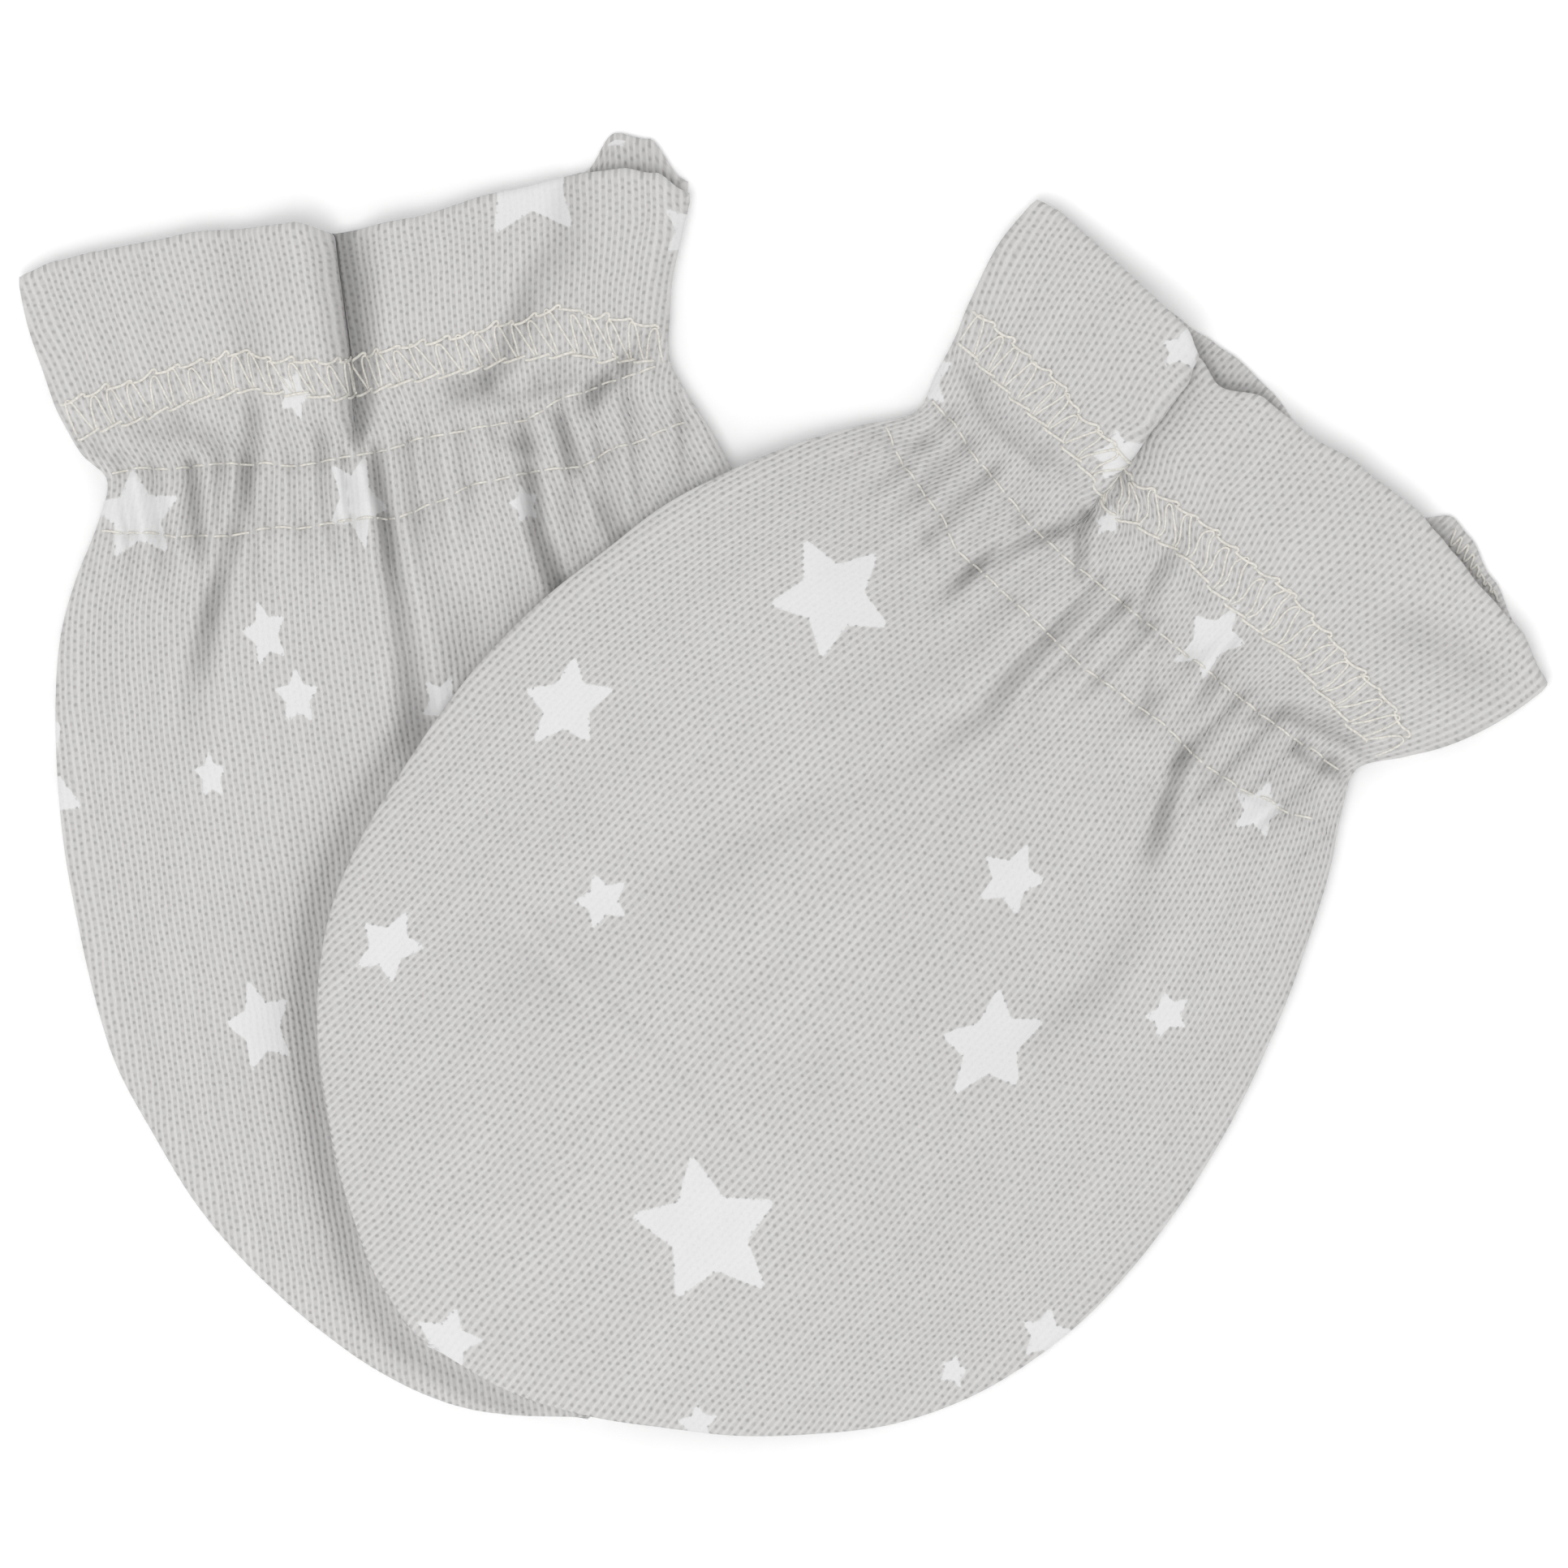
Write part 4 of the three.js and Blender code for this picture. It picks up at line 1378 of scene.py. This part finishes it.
def stitch_paths(row, stitch, shape, steps):
    """One path for each stitch along a row; out is measured towards the cuff."""
    paths = []
    points = shape.along(np.linspace(0, shape.count - 1, steps))
    for number in range(int(row.length / stitch)):
        wobble = math.sin(number * 2.4)
        distance = (number + 0.04 * wobble + points["along"]) * stitch
        rows, columns = row.at(distance)
        out = points["out"] * (1 + 0.3 * wobble) + 0.05 * math.sin(number * 1.7)
        rows = rows - out * row.panel.rows_per_mm
        paths.append(thread_points(row.panel, rows, columns, points["lift"]))
    return paths


def loop_paths(high, low, stitch, steps):
    """The covering thread that runs to and fro between two needle rows."""
    paths = []
    count = int(min(high.length, low.length) / stitch * LOOPS_PER_STITCH)
    points = LOOP.along(np.linspace(0, LOOP.count - 1, steps))
    for number in range(count):
        lean = 0.12 * math.sin(number * 1.9)
        place = (number + points["along"] + lean * points["rise"]) / count
        high_row, high_column = high.at(place * high.length)
        low_row, low_column = low.at(place * low.length)
        rise = points["rise"] * (1 + 0.08 * math.sin(number * 2.7 + 1))
        rows = low_row + (high_row - low_row) * rise
        columns = low_column + (high_column - low_column) * rise
        paths.append(thread_points(high.panel, rows, columns, points["lift"]))
    return paths


def tab_paths(panel):
    """The hem's overlock, where the inner side of the back looks out above the front."""
    paths = []
    points = OVERLOCK.along(np.linspace(0, OVERLOCK.count - 1, 17))
    columns = np.arange(panel.across.shape[1])
    for start in np.arange(*TAB_STITCHES):
        across = start + points["along"]
        column = np.interp(across, panel.across[4], columns)
        place = TAB_BELOW + points["out"] + 0.12 * (start - TAB_STITCHES[0])
        row = panel.find_row(column, lambda _: place)
        paths.append(thread_points(panel, row, column, points["lift"], -1))
    return paths


class Value:
    """A shader socket that takes part in arithmetic."""

    def __init__(self, shader, socket):
        self.shader = shader
        self.socket = socket

    def math(self, operation, *values):
        sockets = dict(enumerate((self, *values)))
        return self.shader.node("ShaderNodeMath", {"operation": operation}, sockets)

    def __add__(self, other):
        return self.math("ADD", other)

    def __radd__(self, other):
        return self.math("ADD", other)

    def __sub__(self, other):
        return self.math("SUBTRACT", other)

    def __rsub__(self, other):
        return self.shader.node("ShaderNodeMath", {"operation": "SUBTRACT"}, {0: other, 1: self})

    def __mul__(self, other):
        return self.math("MULTIPLY", other)

    def __rmul__(self, other):
        return self.math("MULTIPLY", other)

    def __truediv__(self, other):
        return self.math("DIVIDE", other)

    def floor(self):
        return self.math("FLOOR")

    def fraction(self):
        return self.math("FRACT")

    def size(self):
        return self.math("ABSOLUTE")

    def power(self, exponent):
        return self.math("POWER", exponent)

    def cosine(self):
        return self.math("COSINE")

    def eased(self, low, high):
        """0 at low and 1 at high, eased between them."""
        return self.shader.node(
            "ShaderNodeMapRange",
            {"interpolation_type": "SMOOTHSTEP"},
            {"Value": self, "From Min": low, "From Max": high, "To Min": 0.0, "To Max": 1.0},
        )


class Shader:
    """A material under construction."""

    def __init__(self, name):
        self.material = bpy.data.materials.new(name)
        self.material.use_nodes = True
        self.tree = self.material.node_tree
        self.tree.nodes.clear()

    def node(self, kind, settings, sockets, output=0):
        made = self.tree.nodes.new(kind)
        for name, value in settings.items():
            setattr(made, name, value)
        for name, value in sockets.items():
            if isinstance(value, Value):
                self.tree.links.new(value.socket, made.inputs[name])
            else:
                made.inputs[name].default_value = value
        return Value(self, made.outputs[output])

    def blend(self, factor, first, second):
        """A colour between two colours."""
        settings = {"data_type": "RGBA", "clamp_factor": True}
        return self.node("ShaderNodeMix", settings, {0: factor, 6: first, 7: second}, 2)

    def noise(self, vector, scale, detail=2.0):
        sockets = {"Vector": vector, "Scale": scale, "Detail": detail, "Roughness": 0.55}
        return self.node("ShaderNodeTexNoise", {}, sockets)

    def finish(self, surface):
        self.node_output = self.tree.nodes.new("ShaderNodeOutputMaterial")
        self.tree.links.new(surface.socket, self.node_output.inputs["Surface"])
        return self.material


def jersey_material(settings):
    """Fine rib jersey: wales of paired legs with a small hole at each course, and printed stars."""
    shader = Shader("rib_jersey")
    cloth = shader.node("ShaderNodeAttribute", {"attribute_name": "cloth"}, {}, "Vector")
    star = shader.node("ShaderNodeAttribute", {"attribute_name": "star"}, {}, "Fac")
    painted_crease_shade = shader.node("ShaderNodeAttribute", {"attribute_name": "painted_crease_shade"}, {}, "Fac")
    across = shader.node("ShaderNodeSeparateXYZ", {}, {0: cloth}, "X")
    along = shader.node("ShaderNodeSeparateXYZ", {}, {0: cloth}, "Y")
    inner = shader.node("ShaderNodeSeparateXYZ", {}, {0: cloth}, "Z")
    wander = shader.noise(cloth, 0.06)
    drift = shader.noise(cloth, 0.25)
    shiver = shader.noise(cloth, 0.7)
    wale = across + (wander - 0.5) * 1.6 + (drift - 0.5) * 0.4 + (shiver - 0.5) * 0.35
    number = wale.floor()
    beside = wale.fraction() - 0.5
    offset = beside.size()
    phase = shader.node("ShaderNodeTexWhiteNoise", {"noise_dimensions": "1D"}, {"W": number}, "Value")
    course = along + (drift - 0.5) * 0.8 + number * 0.5 + phase * 0.15
    row = course.floor()
    cell = shader.node("ShaderNodeCombineXYZ", {}, {"X": number, "Y": row, "Z": 0.0})
    chance = shader.node("ShaderNodeTexWhiteNoise", {"noise_dimensions": "2D"}, {"Vector": cell}, "Value")
    within = course.fraction() - 0.5 + (chance - 0.5) * 0.24
    reach = ((beside / 0.29).power(2.0) + (within / 0.27).power(2.0)).power(0.5)
    hole = 1 - reach.eased(0.1, 1.15)
    ridge = offset.eased(0.04, 0.46)
    strand = ((course + offset * 0.9) * (2 * math.pi)).cosine() * 0.5 + 0.5
    fibre = shader.noise(cloth, 3.2, 3.0)
    cloud = shader.noise(cloth, 0.16, 3.0)
    stretched = shader.node("ShaderNodeVectorMath", {"operation": "MULTIPLY"}, {0: cloth, 1: (0.4, 0.03, 1.0)})
    streak = shader.noise(stretched, 1.0, 3.0)

    edge = star + (fibre - 0.5) * 0.5 + hole * 0.10
    printed = 1 - edge.eased(-0.10, 0.12)
    bare = 1 - printed

    # Painted shade in the knit's holes and in the grooves between wales, and a faint painted highlight along
    # the wale ridges; the fibre, cloud and streak terms below are the yarn's own uneven tone
    pores = hole * (0.35 + 0.65 * chance)
    shade = (pores * 0.27 + (1 - ridge) * 0.15) * (0.12 + 0.88 * bare)
    light = 1 - shade + ridge * strand * 0.04 * bare
    light = light * (1 + (fibre - 0.5) * 0.13) * (1 + (cloud - 0.5) * 0.07 + (streak - 0.5) * 0.10 * bare)
    # Painted shade: the cloth colour is darkened by up to 45% in deep folds and creases
    # The inner side of each shell is 3% darker: partly the knit's reverse side, partly painted shade inside
    # the mitten
    light = light * (1 - painted_crease_shade * 0.45) * (1 - inner * 0.03)
    dye = shader.blend(printed, (*settings.cloth_colour, 1.0), (*settings.print_colour, 1.0))
    grey = shader.node("ShaderNodeCombineColor", {}, {0: light, 1: light, 2: light})
    colour = shader.node(
        "ShaderNodeMix",
        {"data_type": "RGBA", "blend_type": "MULTIPLY"},
        {0: 1.0, 6: dye, 7: grey},
        2,
    )
    height = ridge * (0.75 + 0.25 * strand) - hole * 0.6
    height = height * (0.2 + 0.8 * bare) + printed * 0.35 + fibre * 0.3
    normal = shader.node(
        "ShaderNodeBump",
        {},
        {"Strength": 1.0, "Distance": settings.knit_relief, "Height": height},
    )
    surface = shader.node(
        "ShaderNodeBsdfPrincipled",
        {},
        {
            "Base Color": colour,
            "Roughness": 0.92 - printed * 0.12,
            "Specular IOR Level": 0.25,
            "Sheen Weight": 0.12,
            "Sheen Roughness": 0.6,
            "Normal": normal,
        },
    )
    return shader.finish(surface)


def thread_material(settings):
    """Soft cream sewing thread with a fine twist."""
    shader = Shader("sewing_thread")
    place = shader.node("ShaderNodeTexCoord", {}, {}, "Object")
    twist = shader.noise(place, 3500.0, 2.0)
    dark = tuple(0.8 * channel for channel in settings.colour)
    colour = shader.blend(twist.eased(0.3, 0.7), (*dark, 1.0), (*settings.colour, 1.0))
    normal = shader.node("ShaderNodeBump", {}, {"Strength": 0.6, "Distance": 0.00005, "Height": twist})
    surface = shader.node(
        "ShaderNodeBsdfPrincipled",
        {},
        {
            "Base Color": colour,
            "Roughness": 0.75,
            "Specular IOR Level": 0.35,
            "Sheen Weight": 0.2,
            "Normal": normal,
        },
    )
    return shader.finish(surface)


def floor_material(settings):
    shader = Shader("pale_floor")
    place = shader.node("ShaderNodeTexCoord", {}, {}, "Object")
    grain = shader.noise(place, 40.0, 2.0)
    dark = tuple(0.985 * channel for channel in settings.floor_colour)
    colour = shader.blend(grain, (*dark, 1.0), (*settings.floor_colour, 1.0))
    surface = shader.node(
        "ShaderNodeBsdfPrincipled",
        {},
        {"Base Color": colour, "Roughness": 0.9, "Specular IOR Level": 0.1},
    )
    return shader.finish(surface)


class MittensClothSettings(bpy.types.PropertyGroup):
    cloth_colour: bpy.props.FloatVectorProperty(
        name="Cloth colour",
        description="Colour of the jersey's yarn",
        default=(0.573, 0.567, 0.56),
        size=3,
        subtype="COLOR",
    )
    print_colour: bpy.props.FloatVectorProperty(
        name="Print colour",
        description="Colour of the printed stars",
        default=(0.67, 0.67, 0.67),
        size=3,
        subtype="COLOR",
    )
    knit_relief: bpy.props.FloatProperty(
        name="Knit relief",
        description="Depth of the knit's surface",
        default=0.075 * MM,
        unit="LENGTH",
    )


class MittensSewingSettings(bpy.types.PropertyGroup):
    colour: bpy.props.FloatVectorProperty(
        name="Thread colour",
        description="Colour of the sewing thread",
        default=(0.71, 0.692, 0.638),
        size=3,
        subtype="COLOR",
    )
    stitch: bpy.props.FloatProperty(
        name="Stitch length",
        description="Length of one stitch of the cover stitch and the elastic rows",
        default=2.4 * MM,
        unit="LENGTH",
    )
    cover_thread: bpy.props.FloatProperty(
        name="Cover thread",
        description="Radius of the cover stitch's needle thread",
        default=0.145 * MM,
        unit="LENGTH",
    )
    fine_thread: bpy.props.FloatProperty(
        name="Fine thread",
        description="Radius of the covering thread and of the elastic rows' thread",
        default=0.125 * MM,
        unit="LENGTH",
    )


class MittensStageSettings(bpy.types.PropertyGroup):
    floor_colour: bpy.props.FloatVectorProperty(
        name="Floor colour",
        description="Colour of the floor",
        default=(0.97, 0.97, 0.97),
        size=3,
        subtype="COLOR",
    )
    camera_height: bpy.props.FloatProperty(
        name="Camera height",
        description="Height of the camera above the floor",
        default=1.2,
        unit="LENGTH",
    )
    view_width: bpy.props.FloatProperty(
        name="View width",
        description="Width of the picture at the cloth's height",
        default=148.6 * MM,
        unit="LENGTH",
    )
    key_power: bpy.props.FloatProperty(
        name="Key light",
        description="Power of the large soft light",
        default=3.5,
        unit="POWER",
    )
    sky: bpy.props.FloatProperty(
        name="Sky",
        description="Strength of the light from all round",
        default=0.86,
    )


def show(mesh, material, name):
    """Links a mesh as a piece that rides on the part's body."""
    mesh.materials.append(material)
    piece = bpy.data.objects.new(name, mesh)
    bpy.context.scene.collection.objects.link(piece)
    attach(piece, "root")
    return piece


PANELS = {}
SEWN = ("cover_needles", "cover_thread", "elastic_rows")


def panel_of(mitten, side):
    """The panel's surface, worked out once and shared by the cloth and its sewing."""
    if (mitten.name, side) not in PANELS:
        steps = (ROW_STEPS, FRONT_COLUMN_STEPS)
        if side == "back":
            steps = (BACK_ROW_STEPS, BACK_COLUMN_STEPS)
        PANELS[mitten.name, side] = Panel(mitten, side, *steps)
    return PANELS[mitten.name, side]


def material_of(name, make, settings):
    return bpy.data.materials.get(name) or make(settings)


def add_panel(context, mitten, side):
    panel = panel_of(mitten, side)
    name = f"{mitten.name}_{side}_cloth"
    jersey = material_of("rib_jersey", jersey_material, context.scene.mittens_cloth)
    piece = show(shell_mesh(panel, name), jersey, name)
    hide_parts(f"{mitten.name}_{side}_panel")
    below = mitten.sections["below"]
    widths = mitten.flat_width(below, mitten.sections["left"] + mitten.sections["right"])
    area = float(((widths[1:] + widths[:-1]) / 2 * np.diff(below)).sum())


def add_sewing(context, mitten, side):
    panel = panel_of(mitten, side)
    settings = context.scene.mittens_sewing
    thread = material_of("sewing_thread", thread_material, settings)
    stitch = settings.stitch / MM
    heavy = settings.cover_thread / MM
    fine = settings.fine_thread / MM
    high = SewnRow(panel, "cover_high")
    low = SewnRow(panel, "cover_low")
    needles = stitch_paths(high, stitch, SCALLOP, 17) + stitch_paths(low, stitch, DASH, 11)
    covering = loop_paths(high, low, stitch, 21)
    if mitten is UPPER and side == "back":
        covering += tab_paths(panel)
    elastic = []
    for row in ("elastic_high", "elastic_low"):
        elastic += stitch_paths(SewnRow(panel, row), stitch, TACK, 9)
    for label, paths, radius, sides in zip(
        SEWN, (needles, covering, elastic), (heavy, fine, fine), (8, 6, 6)
    ):
        name = f"{mitten.name}_{side}_{label}"
        show(tube_mesh(paths, radius, sides, name), thread, name)


class MITTENS_OT_back_panels(bpy.types.Operator):
    """Add the back panel of each mitten"""

    bl_idname = "mittens.back_panels"
    bl_label = "Back panels"

    def execute(self, context):
        for mitten in MITTENS:
            add_panel(context, mitten, "back")
        return {"FINISHED"}


class MITTENS_OT_front_panels(bpy.types.Operator):
    """Add the front panel of each mitten"""

    bl_idname = "mittens.front_panels"
    bl_label = "Front panels"

    def execute(self, context):
        for mitten in MITTENS:
            add_panel(context, mitten, "front")
        return {"FINISHED"}


class MITTENS_OT_sewing(bpy.types.Operator):
    """Add the cover stitch and the elastic rows of each panel"""

    bl_idname = "mittens.sewing"
    bl_label = "Sewing"

    def execute(self, context):
        for mitten in MITTENS:
            for side in ("back", "front"):
                add_sewing(context, mitten, side)
        return {"FINISHED"}


def add_area_light(name, place, size, power, target=(0.0, 0.0, 0.0)):
    data = bpy.data.lights.new(name, "AREA")
    data.shape = "SQUARE"
    data.size = size
    data.energy = power
    lamp = bpy.data.objects.new(name, data)
    lamp.location = place
    lamp.rotation_euler = (Vector(target) - Vector(place)).to_track_quat("-Z", "Y").to_euler()
    bpy.context.scene.collection.objects.link(lamp)
    return lamp


class MITTENS_OT_stage(bpy.types.Operator):
    """Add the floor, the lights and the camera"""

    bl_idname = "mittens.stage"
    bl_label = "Stage"

    def execute(self, context):
        settings = context.scene.mittens_stage
        reach = 1.5
        mesh = bpy.data.meshes.new("floor")
        corners = [(-reach, -reach, 0), (reach, -reach, 0), (reach, reach, 0), (-reach, reach, 0)]
        mesh.from_pydata(corners, [], [(0, 1, 2, 3)])
        mesh.materials.append(floor_material(settings))
        floor = bpy.data.objects.new("floor", mesh)
        floor.location.z = -0.02 * MM
        context.scene.collection.objects.link(floor)

        world = bpy.data.worlds.new("studio")
        world.use_nodes = True
        background = world.node_tree.nodes["Background"]
        background.inputs["Color"].default_value = (1.0, 1.0, 1.0, 1.0)
        background.inputs["Strength"].default_value = settings.sky
        context.scene.world = world
        add_area_light("key_light", (-0.12, -0.18, 0.95), 0.4, settings.key_power)

        data = bpy.data.cameras.new("camera")
        data.sensor_width = 36.0
        cloth_height = 3.0 * MM
        data.lens = 36.0 * (settings.camera_height - cloth_height) / settings.view_width
        camera = bpy.data.objects.new("camera", data)
        camera.location = (0.0, 0.0, settings.camera_height)
        context.scene.collection.objects.link(camera)
        context.scene.camera = camera
        context.scene.view_settings.view_transform = "Standard"
        return {"FINISHED"}


class MITTENS_PT_sidebar(bpy.types.Panel):
    """Lists the mittens' pieces and their settings"""

    bl_label = "Baby mittens"
    bl_idname = "MITTENS_PT_sidebar"
    bl_space_type = "VIEW_3D"
    bl_region_type = "UI"
    bl_category = "Mittens"

    def draw(self, context):
        for group in ("mittens_cloth", "mittens_sewing", "mittens_stage"):
            settings = getattr(context.scene, group)
            box = self.layout.box()
            for name in settings.__annotations__:
                box.prop(settings, name)
        for operator in OPERATORS:
            self.layout.operator(operator.bl_idname)


OPERATORS = (
    MITTENS_OT_sewing,
    MITTENS_OT_back_panels,
    MITTENS_OT_front_panels,
    MITTENS_OT_stage,
)
GROUPS = (
    ("mittens_cloth", MittensClothSettings),
    ("mittens_sewing", MittensSewingSettings),
    ("mittens_stage", MittensStageSettings),
)


def register():
    for name, group in GROUPS:
        bpy.utils.register_class(group)
        setattr(bpy.types.Scene, name, bpy.props.PointerProperty(type=group))
    for operator in OPERATORS:
        bpy.utils.register_class(operator)
    bpy.utils.register_class(MITTENS_PT_sidebar)


def unregister():
    bpy.utils.unregister_class(MITTENS_PT_sidebar)
    for operator in reversed(OPERATORS):
        bpy.utils.unregister_class(operator)
    for name, group in reversed(GROUPS):
        delattr(bpy.types.Scene, name)
        bpy.utils.unregister_class(group)


def main():
    register()
    # The sewing comes first, then the back and front panels and the stage
    bpy.ops.mittens.sewing()
    bpy.ops.mittens.back_panels()
    bpy.ops.mittens.front_panels()
    bpy.ops.mittens.stage()


if __name__ == "__main__":
    main()
